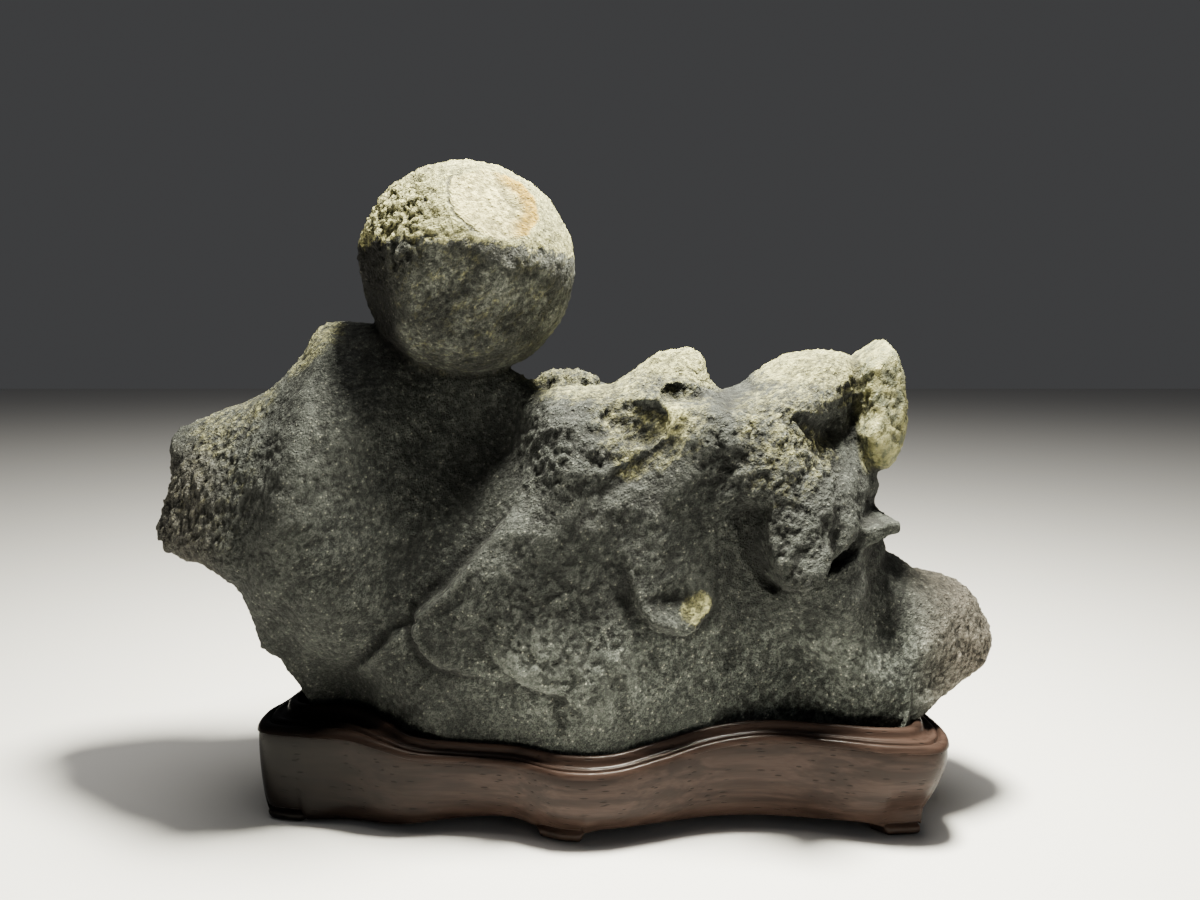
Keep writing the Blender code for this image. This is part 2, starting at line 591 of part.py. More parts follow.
def make_rock(collection):
    slab = make_plate("slab", SLAB_OUTLINE, slab_depth, collection)
    disc = make_plate("disc", DISC_OUTLINE, disc_depth, collection)
    ball = make_round("ball", BALL_CENTRE, BALL_HALF, BALL_FLATS, collection)
    lump = make_round("lump", LUMP_CENTRE, LUMP_HALF, (), collection)
    rock = join("rock", (slab, ball, disc, lump), collection)
    remesh(rock, ROCK_VOXEL)
    lean(rock)
    weather(rock)
    fit_seat(rock)
    count = sum(len(face.vertices) - 2 for face in rock.data.polygons)
    thin = rock.modifiers.new("Thin", "DECIMATE")
    thin.ratio = ROCK_TRIANGLES / count
    thin.use_collapse_triangulate = True
    settle(rock)
    fit_seat(rock)
    return rock


# ---------------------------------------------------------------- the stand

def foot_reading(at):
    """How far each station lies from the nearest foot, along the rim, in millimetres."""
    scale = STATION_SHARES
    fine = rim_line(scale * len(RIM))
    steps = np.linalg.norm(np.diff(fine[:, :2], axis=0, append=fine[:1, :2]), axis=1)
    run = np.concatenate(((0,), np.cumsum(steps)))
    here = np.interp(at * scale, np.arange(len(fine) + 1), run)
    away = np.full(len(at), 1e9)
    for foot in FEET:
        gap = np.abs(here - np.interp(foot * scale, np.arange(len(fine) + 1), run))
        away = np.minimum(away, np.minimum(gap, run[-1] - gap))
    return away


def stand_stations(count):
    """Parameters of the rim's stations, drawn closer together around the feet."""
    at = np.linspace(0, len(RIM), STATION_SHARES * len(RIM) + 1)
    away = foot_reading(at)
    weight = 1 + 2.0 * np.exp(-(((away - FOOT_HALF) / 6) ** 2))
    total = np.concatenate(((0,), np.cumsum((weight[1:] + weight[:-1]) / 2)))
    return np.interp(np.arange(count) / count * total[-1], total, at)


def stand_rings(count):
    """Closed rings of points, from the pocket's floor over the rim and down to the underside."""
    at = stand_stations(count)
    rim = rim_line(count, at)
    outer, inner, shoulder = rim[:, :2], rim[:, 2:4], rim[:, 4]
    away = foot_reading(at)
    on_foot = 1 - ease((away - FOOT_HALF) / FOOT_END)
    x, y = outer[:, 0], outer[:, 1]
    front = np.interp(x, *zip(*APRON_FRONT))
    apron = APRON_UP + (front - APRON_UP) * ease((-y - 5) / 20)
    curve = 1 - ease((away - FOOT_HALF) / BRACKET)
    apron += (np.minimum(BRACKET_DOWN, apron) - apron) * curve
    edge = apron + (FOOT_SECTION[0][0] - apron) * on_foot
    at_left = ease((LEFT_END[0] - x) / LEFT_END[1])
    at_right = ease((x - RIGHT_END[0]) / RIGHT_END[1])
    ahead, behind = np.roll(outer, -1, axis=0), np.roll(outer, 1, axis=0)
    run = ahead - behind
    out = np.column_stack((run[:, 1], -run[:, 0])) / np.linalg.norm(run, axis=1)[:, None]
    out *= -1 if np.cross(run[0], outer.mean(axis=0) - outer[0]) < 0 else 1
    across = inner - outer
    across /= np.linalg.norm(across, axis=1)[:, None]

    def ring(plan, height):
        return np.column_stack((plan, np.broadcast_to(height, away.shape)))

    rings = [ring(inner, POCKET_FLOOR)]
    for share, rise in RIM_SECTION:
        rings.append(ring(outer + (inner - outer) * share, shoulder + rise))
    for (share, set_in), left, right in zip(WALL_SECTION, WALL_LEFT, WALL_RIGHT):
        top = shoulder - RIM_DROP
        base = set_in + (left - set_in) * at_left + (right - set_in) * at_right
        rings.append(ring(outer - out * base[:, None], edge + share * (top - edge)))
    for height, set_in in FOOT_SECTION:
        level = apron + (height - apron) * on_foot
        push = base + APRON_SECTION + (set_in - APRON_SECTION) * on_foot
        rings.append(ring(outer - out * push[:, None], level))
    bottom = apron * (1 - on_foot)
    rings.append(ring(outer + across * FOOT_DEEP, bottom))
    rings.append(ring(outer + across * (FOOT_DEEP + 1), UNDERSIDE))
    return rings


def make_stand(collection):
    """A loft of the rings, closed by the pocket's floor and the underside."""
    shape = bmesh.new()
    loops = []
    for ring in stand_rings(STAND_STATIONS):
        loops.append([shape.verts.new(Vector(point) * MM) for point in ring])
    for upper, lower in zip(loops, loops[1:]):
        for index in range(STAND_STATIONS):
            after = (index + 1) % STAND_STATIONS
            shape.faces.new((upper[index], upper[after], lower[after], lower[index]))
    shape.faces.new(loops[0])
    shape.faces.new(loops[-1])
    bmesh.ops.recalc_face_normals(shape, faces=shape.faces)
    bmesh.ops.triangulate(shape, faces=shape.faces)
    mesh = bpy.data.meshes.new("stand")
    shape.to_mesh(mesh)
    shape.free()
    stand = add_object("stand", mesh, collection)
    stand.data.shade_smooth()
    stand.data.set_sharp_from_angle(angle=math.radians(40))
    return stand


# ---------------------------------------------------------------- assembly

def main():
    clear_scene()
    collection = bpy.data.collections.new("scholars_rock")
    bpy.context.scene.collection.children.link(collection)
    rock = make_rock(collection)
    stand = make_stand(collection)
    rock.data.materials.append(make_material("grey_sandstone", (0.075, 0.08, 0.068), 0.92))
    stand.data.materials.append(make_material("dark_rosewood", (0.035, 0.02, 0.016), 0.38))
    for piece in (rock, stand):
        write_points(piece.data, read_points(piece.data) - MIDDLE)


main()
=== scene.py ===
"""Scholar's rock on its carved stand: the finished stone, the polished stand and a plain stage.

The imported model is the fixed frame. The stone and the stand are made again here in fine mesh,
from the same outlines and depths as the solids that they stand for. Outlines and depths are in
millimetres: x to the right, y away from the front, z up from the surface under the feet.
"""

import math

import bmesh
import bpy
import numpy as np
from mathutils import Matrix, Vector, noise


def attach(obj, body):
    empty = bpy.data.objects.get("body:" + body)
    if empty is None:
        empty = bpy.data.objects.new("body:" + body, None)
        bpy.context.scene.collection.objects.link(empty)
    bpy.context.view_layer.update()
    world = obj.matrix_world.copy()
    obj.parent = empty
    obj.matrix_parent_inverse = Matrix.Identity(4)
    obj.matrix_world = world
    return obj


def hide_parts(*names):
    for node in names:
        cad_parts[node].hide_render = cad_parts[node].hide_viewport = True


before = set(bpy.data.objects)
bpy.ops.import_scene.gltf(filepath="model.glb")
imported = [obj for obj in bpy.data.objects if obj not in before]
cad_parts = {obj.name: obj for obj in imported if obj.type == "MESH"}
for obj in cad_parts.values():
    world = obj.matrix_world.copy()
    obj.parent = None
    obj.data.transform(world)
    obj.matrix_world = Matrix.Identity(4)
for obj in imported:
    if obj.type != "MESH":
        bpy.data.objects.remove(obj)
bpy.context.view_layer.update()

bl_info = {
    "name": "Scholar's Rock on Stand",
    "version": (1, 0, 0),
    "blender": (4, 5, 0),
    "location": "3D Viewport > Sidebar > Scholar's Rock",
    "description": "Carves a wave-shaped viewing stone and the moulded wooden stand that holds it",
    "category": "Add Mesh",
}

MM = 0.001

# ---------------------------------------------------------------- driving dimensions

# The middle of the whole object's box, in the frame in which the outlines are drawn.
MIDDLE = np.array((-10.6, 3.6, 0.0))

# The slab's outline seen from the front, from the ball's left side round to its right side.
SLAB_OUTLINE = (
    (-86, 192), (-104, 194), (-110, 194), (-114, 191), (-116, 187), (-119, 180), (-123, 175),
    (-130, 169), (-140, 163), (-152, 158), (-164, 154), (-172, 150), (-175, 144), (-175, 137),
    (-177, 124), (-180, 116), (-183, 110), (-181, 105), (-178, 100), (-173, 97), (-164, 95),
    (-156, 92), (-147, 85), (-144, 75), (-141, 65), (-140, 60), (-133, 55), (-128, 48),
    (-124, 42), (-120, 34), (-118, 15), (119, 15), (127, 20), (132, 25), (136, 31), (142, 38),
    (150, 43), (159, 51), (162, 57), (163, 63), (162, 69), (158, 75), (154, 81), (149, 86),
    (141, 89), (133, 91), (126, 95), (120.5, 97.5), (116.5, 100), (115.5, 104), (113, 109),
    (112, 115), (111, 122), (113, 127), (112, 140), (107, 165),
    (104, 178), (98, 181), (90, 183), (81, 182), (75, 180), (69, 176), (63, 172), (59, 168),
    (53, 166), (49, 166), (46, 168), (43, 174), (41, 180), (36, 184), (30, 183), (23, 181),
    (16, 176), (10, 172), (5, 169), (-10, 168), (-24, 168), (-34, 173), (-50, 180),
)
BLANK_HALF = 40.0      # half thickness of the blank that the faces are carved from
EDGE_LEFT = 3.0        # half thickness that is left at the outline itself
LEAST_DEPTH = 8.0      # least depth of a face before its edge is rounded
RELIEF_EDGE = 10.0     # distance from the outline over which ledges and ridges rise
# How far in from the outline a face reaches its full depth: (x, z, distance).
EDGE_ROUND = (
    (-175, 120, 11), (-150, 158, 15), (-120, 185, 20), (-150, 90, 15), (-128, 50, 12),
    (-110, 25, 6), (-50, 30, 7), (0, 30, 7), (60, 30, 7), (112, 25, 5), (112, 50, 9),
    (135, 45, 13), (160, 64, 13), (140, 90, 13), (120, 108, 18), (110, 130, 24),
    (100, 180, 22), (82, 178, 20), (54, 164, 9), (35, 182, 16), (0, 168, 13), (-50, 175, 22),
    (-50, 100, 24), (50, 100, 24),
)
# How far the slab leans away behind (or towards) the upright plane: (x, z, distance).
LEAN = (
    (-183, 110, -6), (-175, 145, 10), (-150, 158, 15), (-150, 130, 2), (-150, 98, -15),
    (-120, 182, 8), (-114, 150, 1), (-120, 112, -6), (-128, 62, -6), (-100, 196, 2),
    (-126, 46, -13), (-119, 26, -13), (-106, 32, -3), (-106, 60, 0), (-70, 172, 0),
    (-60, 120, 0), (-53, 214, 0), (-53, 258, 0), (-95, 215, 0),
    (-10, 215, 0), (0, 168, 3), (32, 184, 5), (84, 183, 4), (113, 187, 2), (118, 140, 2),
    (0, 100, 0), (0, 30, 0), (60, 130, 0), (110, 30, 0), (112, 70, 0), (122, 104, 4),
    (148, 88, 3), (163, 64, -9), (159, 52, -17), (150, 43, -24), (142, 38, -28), (136, 31, -33),
    (130, 23, -36), (119, 15, -20), (118, 46, -9),
)
EYE = np.array((0.0, -397.0, 183.0))   # the point that the outline is drawn from
LEDGE_SOFT = 1.2       # half width of the rounded step at a ledge or round a flat break
SHARE_BLEND = 4.0      # how softly a reading passes from one part of a line to the next

# Depths in front of the slab's middle plane: (x, z, depth).
FRONT_WING = (
    (-164, 135, 15), (-165, 117, 16), (-148, 150, 18), (-149, 133, 25), (-145, 113, 27),
    (-130, 145, 31), (-130, 127, 37), (-127, 158, 25), (-121, 104, 40), (-113, 165, 32),
    (-107, 186, 18), (-104, 168, 33), (-107, 153, 40), (-110, 135, 43), (-115, 119, 44),
    (-113, 89, 41), (-123, 68, 22), (-97, 82, 43), (-103, 61, 31),
)
FRONT_HOLLOW = (
    (-94, 182, 16), (-87, 163, 30), (-89, 145, 37), (-93, 123, 41), (-71, 167, 16),
    (-70, 147, 21), (-69, 125, 27), (-72, 104, 33), (-48, 166, 10), (-48, 147, 11),
    (-51, 124, 23), (-35, 162, 10), (-36, 143, 14), (-82, 93, 38), (-79, 71, 37),
)
FRONT_MIDDLE = (
    (-22, 166, 24), (-15, 154, 37), (-18, 139, 41), (-5, 163, 33), (-5, 150, 40), (5, 149, 38),
    (2, 137, 41), (0, 126, 43),
    (-29, 117, 42), (-44, 95, 43), (-59, 79, 42), (-18, 100, 44), (7, 100, 43), (0, 76, 45.5),
    (-22, 56, 48), (-40, 69, 45), (-88, 50, 29), (-64, 52, 42),
)
FRONT_SPUR = (
    (24, 178, 16), (36, 178, 14), (12, 166, 32), (23, 168, 32), (37, 158, 38), (10, 154, 34),
    (18, 149, 35.5), (16, 138, 38),
    (46, 163, 36), (42, 149, 41), (29, 128, 40), (50, 133, 41), (52, 118, 38), (36, 106, 39),
    (56, 99, 36),
    (44, 92, 38.5), (33, 78, 42), (18, 54, 49), (52, 57, 40), (52, 80, 37),
)
FRONT_RIGHT = (
    (70, 173, 20), (86, 176, 20), (76, 165, 31), (96, 171, 20), (58, 157, 38), (70, 149, 38),
    (89, 149, 20), (103, 150, 12), (54, 145, 41), (63, 135, 43), (78, 126, 43.5), (94, 131, 35),
    (96, 118, 41), (80, 113, 47.5), (72, 102, 49), (88, 101, 45), (104, 118, 31), (111, 107, 26),
    (94, 88, 41), (107, 92, 28), (108, 76, 30), (124, 91, 25), (135, 84, 26), (147, 76, 20),
    (126, 70, 31), (141, 66, 21), (153, 63, 13), (130, 50, 19), (145, 50, 11), (101, 64, 41),
    (93, 52, 45.5), (92, 70, 42), (116, 46, 31), (74, 69, 38), (72, 50, 41.5),
)
BACK = (
    (-165, 125, 15), (-148, 137, 24), (-125, 142, 33), (-110, 168, 26), (-100, 184, 20),
    (-118, 100, 38), (-133, 76, 20), (-100, 60, 40), (-80, 168, 28), (-82, 130, 44),
    (-70, 92, 52), (-62, 52, 46), (-45, 165, 31), (-40, 130, 47), (-32, 92, 55), (-15, 60, 49),
    (-14, 162, 34), (5, 140, 42), (15, 102, 52), (25, 165, 22), (36, 177, 14), (34, 130, 38),
    (40, 72, 50), (60, 150, 28), (74, 170, 20), (92, 168, 22), (74, 122, 45), (80, 82, 52),
    (100, 148, 20), (103, 112, 30), (116, 82, 40), (140, 76, 22), (154, 62, 13),
    (110, 52, 38), (2, 46, 46), (70, 50, 44),
)

# Ledges: (line, rise, reach). The left-hand side of the line stands proud by rise.
FRONT_LEDGES = (
    (((-31, 125), (-38, 115), (-46, 107), (-56, 96), (-64, 89), (-69, 84), (-70, 78), (-67, 71),
      (-61, 66), (-55, 65)), 10.0, 22.0),
    (((-72, 79), (-78, 76), (-88, 66), (-97, 57)), 6.5, 18.0),
    (((-40, 72), (-34, 66), (-24, 58), (-13, 55), (-8, 50)), 6.0, 16.0),
    (((12, 94), (14, 88), (19, 82), (25, 80), (31, 78), (37, 82), (42, 88), (42, 94)), 8.0, 9.0),
    (((54, 127), (57, 120), (59, 113), (61, 106), (63.5, 99), (68, 95), (75, 97), (80, 101),
      (83, 107), (84, 114)), 13.0, 18.0),
    (((66, 161), (74, 158), (82, 156), (90, 155), (99, 159)), 2.6, 13.0),
    (((0, 158), (5, 162), (12, 163.5), (20, 163), (28, 168), (38, 169)), 2.4, 6.0),
    (((6, 141), (0, 139), (-6, 141)), 2.5, 8.0),
)
BACK_LEDGES = (
    (((96, 128), (70, 112), (44, 104), (16, 84), (-6, 76)), 10.0, 22.0),
    (((-128, 118), (-108, 104), (-92, 84), (-84, 62)), 9.0, 18.0),
    (((-58, 146), (-34, 138), (-14, 142)), 8.0, 13.0),
    (((146, 72), (124, 62), (102, 64), (80, 52)), 8.0, 16.0),
    (((-152, 140), (-141, 124), (-136, 106)), 6.0, 12.0),
    (((-44, 92), (-26, 70), (-4, 58), (20, 50)), 7.0, 16.0),
)

# Ridges and grooves: (line, rise, width), a groove having a negative rise.
FRONT_RIDGES = (
    (((-111, 182), (-110, 160), (-113, 140), (-119, 121), (-130, 102)), 4.0, 7.0),
    (((42, 171), (37, 154), (31, 140), (22, 126)), 3.0, 9.0),
    (((33, 165), (29, 161), (25, 155), (20, 149), (14, 145), (7, 142)), 2.6, 2.4),
    (((24, 83), (31, 82), (37, 85), (41, 90)), 3.0, 3.4),
    (((42, 124), (46, 128), (51, 133)), 3.5, 4.0),
    (((86, 100), (94, 80), (100, 58)), 4.0, 11.0),
    (((8, 62), (9, 48), (9, 38)), -3.0, 3.5),
    (((-16, 56), (-15, 46), (-14, 38)), -2.5, 3.5),
    (((102, 176), (102.5, 168), (102, 160), (101, 150)), -6.0, 1.9),
)
BACK_RIDGES = (
    (((-60, 160), (-66, 130), (-58, 100), (-62, 70)), 5.0, 12.0),
    (((60, 164), (52, 140), (56, 110), (48, 84)), 4.0, 10.0),
    (((-6, 132), (2, 110), (-4, 88)), -4.0, 8.0),
)

# Flat breaks: (outline, three readings (x, z, depth) of the plane that the face is broken to).
FRONT_BREAKS = (
    (((0, 158), (4, 153), (11, 148.5), (18, 147.5), (24, 152), (25.5, 158), (22, 162), (11, 163),
      (2, 161.5)), ((2, 160, 30.0), (24, 160, 33.5), (14, 148, 33.8))),
    (((24, 164.5), (30, 163.5), (37, 164), (39, 167), (35, 170), (29, 170), (24, 168)),
     ((24, 166, 27.5), (38, 166, 26.5), (31, 170, 25.5))),
    (((53, 122), (52.5, 113), (54.5, 104), (59, 96), (65, 91.5), (68, 93), (63.5, 99), (61, 107),
      (59.5, 116), (61, 124), (57, 126)), ((54, 124, 33.5), (61, 124, 34.0), (64, 94, 34.0))),
)

# Dents: (x, z, half width, half height, depth, turn in degrees).
FRONT_DENTS = (
    (88, 150, 9, 5, 5, 0), (56, 122, 5, 7, 5, -35), (9, 90, 3, 5, 4, 10),
    (26, 91, 8, 4, 3, 0),
    (-66, 78, 4, 9, 3, 10), (4, 134, 12, 5, 2, 20),
)
BACK_DENTS = (
    (-20, 112, 16, 11, 7, 20), (88, 98, 12, 9, 6, 0), (-104, 136, 12, 10, 6, 0),
    (28, 150, 10, 8, 5, 0),
)

# The round concretion on the crest, with the planes that it is worn or broken flat on:
# (direction, distance from the centre as a share of the radius, how much is taken away).
BALL_CENTRE = np.array((-53.0, -5.0, 214.2))
BALL_HALF = np.array((42.6, 42.6, 41.8))
BALL_FLATS = (
    ((0.37, -0.74, 0.56), 0.91, 1.0),
    ((-0.86, -0.46, -0.20), 0.87, 0.9),
    ((0.06, -0.95, -0.34), 0.90, 0.9),
    ((0.62, -0.66, -0.42), 0.92, 0.8),
    ((-0.45, -0.50, 0.74), 0.96, 0.8),
    ((0.80, 0.30, -0.45), 0.95, 0.7),
    ((0.10, 0.90, 0.30), 0.93, 0.8),
)
SCAR_SHARE = 0.415     # radius of the flat scar on the ball's shoulder, as a share of the ball's

# The broken disc at the right shoulder, a plate on edge whose face looks a little to the right.
DISC_OUTLINE = (
    (114, 187), (119, 181), (122, 172), (123, 162), (123, 152), (121, 144), (117, 137),
    (113, 134), (109, 135), (103, 141), (101, 150), (103, 158), (102, 168), (102, 178),
    (107, 182),
)
DISC_FRONT = ((102, 160, 23), (123, 160, 16), (112, 186, 15), (112, 136, 22), (112, 160, 19))
DISC_BACK = ((102, 160, 20), (123, 160, 9), (112, 186, 12), (112, 136, 16), (112, 160, 17))
DISC_ROUND = 6.0

# The lump behind the crest, between the ball and the spur.
LUMP_CENTRE = np.array((-15.0, 22.0, 163.0))
LUMP_HALF = np.array((19.0, 13.0, 11.5))

# Where the stone is rough and crumbling: (middle of the zone, its reach, how rough from 0 to 1).
ROUGH_ZONES = (
    ((-80, -27, 229), 36, 1.0), ((-40, -24, 250), 36, 0.4), ((-150, -24, 128), 50, 0.7),
    ((-174, -8, 116), 26, 1.0), ((30, -16, 172), 26, 0.9), ((-15, 18, 170), 26, 1.0),
    ((92, -18, 168), 26, 0.6), ((64, -44, 138), 38, 0.9), ((-8, -38, 154), 34, 0.8),
    ((-20, -52, 72), 38, 0.55), ((150, -12, 70), 32, 0.6), ((75, -54, 108), 24, 0.7),
    ((104, -50, 52), 30, 0.5), ((36, -52, 86), 11, 0.9), ((112, -10, 160), 30, 0.35),
)
ROUGH_EVERYWHERE = 0.22
# Where the pits are deepest: (middle of the zone, its reach, spacing of the pits, depth).
PIT_ZONES = (
    ((-79, -28, 228), 30, 3.1, 2.6), ((-174, -10, 116), 22, 3.4, 1.0),
    ((-15, 18, 170), 26, 5.5, 3.0), ((34, -18, 166), 16, 4.0, 2.0),
    ((62, -46, 138), 34, 3.6, 0.8), ((96, -18, 160), 16, 3.6, 1.2),
    ((-53, -5, 250), 32, 3.0, 0.5), ((36, -52, 86), 9, 3.0, 0.8),
)
# Where the stone is weathered pale: (middle of the zone, its reach, how pale from 0 to 1).
PALE_ZONES = (
    ((86, -4, 178), 32, 0.62), ((32, -6, 178), 26, 0.64), ((0, -6, 172), 34, 0.42),
    ((-15, 18, 172), 22, 0.3), ((-150, -4, 160), 34, 0.22), ((-118, -6, 186), 22, 0.35),
    ((26, -38, 156), 9, 0.7), ((-150, -24, 128), 40, 0.12), ((11, -40, 140), 8, 0.5),
    ((37, -46, 86), 9, 0.8),
    ((20, -34, 158), 30, 0.30), ((72, -34, 156), 32, 0.28), ((66, -38, 138), 24, 0.18),
)

PIT_RADIUS = 0.66      # a pit's radius as a share of the pits' spacing
PIT_WALL = 1.3         # power of the curve of its wall
PIT_TWIST = (1.7, 0.45)   # how finely and how far the pattern of pits is pulled about

# The dark break across the ball: height at its centre, slope, and height over which it fades.
BREAK_HEIGHT, BREAK_SLOPE, BREAK_FADE = 221, 0.05, 12
# Where the disc begins at the crack and at its foot: (coordinate, length over which it fades).
CRACK_AT = (101.5, 2)
DISC_LOW = (133, 5)
DISC_LEAST = 130       # height below which nothing counts as the disc
DISC_THICK = 40        # depth over which it fades, from half as far in front of the middle plane
# Tan stone at either end: (distance outwards at which it begins, over what length, height where
# it ends, over what height, how tan from 0 to 1).
TAN_RIGHT = (116, 30, 92, 12, 0.8)
TAN_LEFT = (135, 25, 130, 20, 0.35)

# Direction of the slanting grain, and the sizes of the stone's roughness: (across the grain,
# from front to back, along the grain), with how far each stands out.
GRAIN_X, GRAIN_Z = 0.64, 0.77
LUMP_CELL, LUMP_RISE = 26, 1.5
WAVE_CELL, WAVE_RISE = (8, 16, 34), 0.8
CRAG_CELL, CRAG_RISE = (7.0, 8, 9), 1.9
CRUMB_CELL = (2.4, 2.6, 3.6)

HIDDEN_BELOW = 24      # height below which the stone stands hidden in the pocket
THIN_LEVELS = 4        # steps in which the thinning sets in from the front to the back

# The stand's rim, station by station, from the left end along the front and back again:
# (outer x, outer y, inner x, inner y, height of the shoulder).
RIM = (
    (-130, -8, -121.5, -4, 38), (-134, -22, -122.5, -15, 38), (-131, -37, -117, -21, 38),
    (-113, -42, -104, -20, 38), (-96, -45, -92, -25, 38), (-83, -49, -80, -37, 36),
    (-70, -51, -69, -43, 33), (-52, -50, -52, -43, 31), (-32, -53, -32, -45, 30.5),
    (-14, -60, -14, -51, 29.5), (4, -60, 4, -51, 29.5), (22, -55, 20, -46, 32),
    (42, -49, 41, -41, 36), (62, -48, 62, -40, 38.5), (84, -52, 83, -43, 38.5),
    (107, -57, 104, -46, 38), (125, -55, 116, -43, 37.5), (132, -42, 121, -33, 37.5),
    (130, -18, 121, -14, 38), (129, 8, 120, 8, 38), (128, 32, 118, 28, 38),
    (120, 47, 111, 38, 37), (100, 51, 97, 42, 36), (74, 48, 72, 40, 34),
    (46, 49, 45, 41, 33), (20, 56, 19, 47, 33), (-8, 57, -8, 48, 34), (-36, 52, -36, 43, 35),
    (-66, 48, -65, 40, 36), (-92, 51, -90, 42, 37), (-113, 49, -107, 40, 37.5),
    (-124, 34, -115, 27, 38), (-127, 12, -119, 10, 38),
)
FEET = (2.35, 8.85, 15.5, 20.9, 25.5, 30.6)   # where the feet stand, in stations of the rim
POCKET_FLOOR = 14.0
UNDERSIDE = 6.5
SEAT_GAP = 0.9         # between the rock's foot and the pocket's wall
SEAT_LEFT, SEAT_RIGHT = -120.5, 119.6   # how far the foot reaches sideways in the pocket
SEAT_CORNER = 118.5    # x at which the pocket's rounded corners begin
SEAT_CLEAR = 4.0       # height above the rim's shoulder up to which the foot must fit the pocket
SEAT_RISE = 32.0       # height over which the foot is drawn in to the pocket's width
SEAT_END, SEAT_FADE = 140.0, 13.0       # beyond this x, over this length, nothing is drawn in

# Section of the rim from the pocket outwards: (share of the way in from the outer edge,
# height above the shoulder). A round lip, a hollow, a small bead, a quirk and a large bead.
RIM_SECTION = (
    (1.00, 2.2), (0.99, 3.0), (0.955, 3.6), (0.90, 3.95), (0.83, 4.0), (0.77, 3.7),
    (0.73, 3.1), (0.71, 2.4), (0.69, 1.5), (0.655, 0.8), (0.60, 0.35), (0.54, 0.2),
    (0.50, 0.35), (0.46, 0.7), (0.41, 0.85), (0.36, 0.7), (0.33, 0.3), (0.315, -0.3),
    (0.30, -0.55), (0.275, -0.5), (0.25, -0.1), (0.20, 0.3), (0.14, 0.4), (0.08, 0.15),
    (0.035, -0.45), (0.01, -1.3), (0.0, -2.0),
)
# Section of the wall below it: (share of the wall's height, how far it is set in).
WALL_SECTION = (
    (0.985, 0.75), (0.94, 0.55), (0.84, 0.5), (0.70, 0.7), (0.55, 1.1), (0.42, 1.7),
    (0.30, 2.5), (0.20, 3.4), (0.12, 4.5), (0.06, 5.5), (0.0, 6.5),
)
WALL_LEFT = (0.75, 0.5, 0.45, 0.5, 0.7, 1.0, 1.4, 1.8, 2.3, 2.8, 3.4)    # the same at either end
WALL_RIGHT = (0.75, 0.5, 0.4, 1.3, 2.9, 4.6, 6.5, 8.1, 8.6, 8.7, 8.8)
LEFT_END = (-96, 24)   # x at which an end's section begins to take over, and over what length
RIGHT_END = (92, 26)
# Height of the apron's lower edge along the front: (x, height); elsewhere APRON_UP.
APRON_FRONT = (
    (-128, 1.2), (-96, 1.4), (-78, 2.3), (-57, 4.5), (-40, 6.4), (-20, 6.2), (0, 5.6), (19, 5.3),
    (37, 4.9), (64, 4.9), (94, 5.6), (125, 5.6),
)
APRON_UP = 5.2
BRACKET = 11.0         # length of the curve that runs from the apron's edge down to a foot
BRACKET_DOWN = 3.9     # height at which the curve meets the foot
FOOT_HALF = 8.8        # half a foot's length along the rim
FOOT_END = 3.0         # length over which a foot's end is rounded off
# Section of a foot from its neck down: (height, how far it is set in from the wall's base).
FOOT_SECTION = (
    (5.5, 0.0), (5.2, 0.6), (4.7, 1.1), (4.2, 0.9), (3.8, 0.1), (3.2, -0.4), (2.2, -0.5),
    (1.2, -0.2), (0.4, 0.5), (0.0, 1.5),
)
APRON_SECTION = 1.2    # how far the apron's lower edge turns in
FOOT_DEEP = 15.0       # how far in from the rim the feet reach
STATION_SHARES = 40    # steps in which the rim is measured between two of its stations
RIM_DROP = 2.0         # how far below the shoulder the wall begins
STAND_STATIONS = 460
CROWD, CROWD_REACH = 2.0, 6    # how much closer stations stand at a foot's end, within what length
SHARP_ANGLE = math.radians(50)


# ---------------------------------------------------------------- fields on the slab's faces

def thin_plate(soundings):
    """A smooth surface through (x, z, depth) readings, as a function of x and z."""
    known = np.array(soundings, float)

    def kernel(ax, az, bx, bz):
        square = (ax[:, None] - bx[None]) ** 2 + (az[:, None] - bz[None]) ** 2
        return 0.5 * square * np.log(square + 1e-9)

    count = len(known)
    plane = np.column_stack((np.ones(count), known[:, 0], known[:, 1]))
    system = np.zeros((count + 3, count + 3))
    system[:count, :count] = kernel(known[:, 0], known[:, 1], known[:, 0], known[:, 1])
    system[:count, count:] = plane
    system[count:, :count] = plane.T
    answer = np.linalg.solve(system, np.concatenate((known[:, 2], np.zeros(3))))

    def depth(x, z):
        bent = kernel(x, z, known[:, 0], known[:, 1]) @ answer[:count]
        return bent + answer[count] + answer[count + 1] * x + answer[count + 2] * z

    return depth


def read_line(x, z, line, closed=False):
    """Distance to a line of points, side (+1 on its left), and how far along the near part is."""
    line = np.array(line, float)
    starts = line if closed else line[:-1]
    ends = np.roll(line, -1, axis=0) if closed else line[1:]
    lengths = np.linalg.norm(ends - starts, axis=1)
    run = np.concatenate(((0,), np.cumsum(lengths)))
    nearest = np.full(len(x), 1e9)
    side = np.ones(len(x))
    readings = []
    for (ax, az), (bx, bz), length, before in zip(starts, ends, lengths, run):
        dx, dz = (bx - ax) / length, (bz - az) / length
        along = np.clip((x - ax) * dx + (z - az) * dz, 0, length)
        gap = np.hypot(x - ax - along * dx, z - az - along * dz)
        left = np.where(dx * (z - az) - dz * (x - ax) >= 0, 1.0, -1.0)
        side = np.where(gap < nearest, left, side)
        nearest = np.minimum(gap, nearest)
        readings.append((gap, (before + along) / run[-1]))
    if closed:
        return nearest, side, None
    weight = sum(np.exp((nearest - gap) / SHARE_BLEND) for gap, _ in readings)
    share = sum(np.exp((nearest - gap) / SHARE_BLEND) * part for gap, part in readings) / weight
    return nearest, side, share


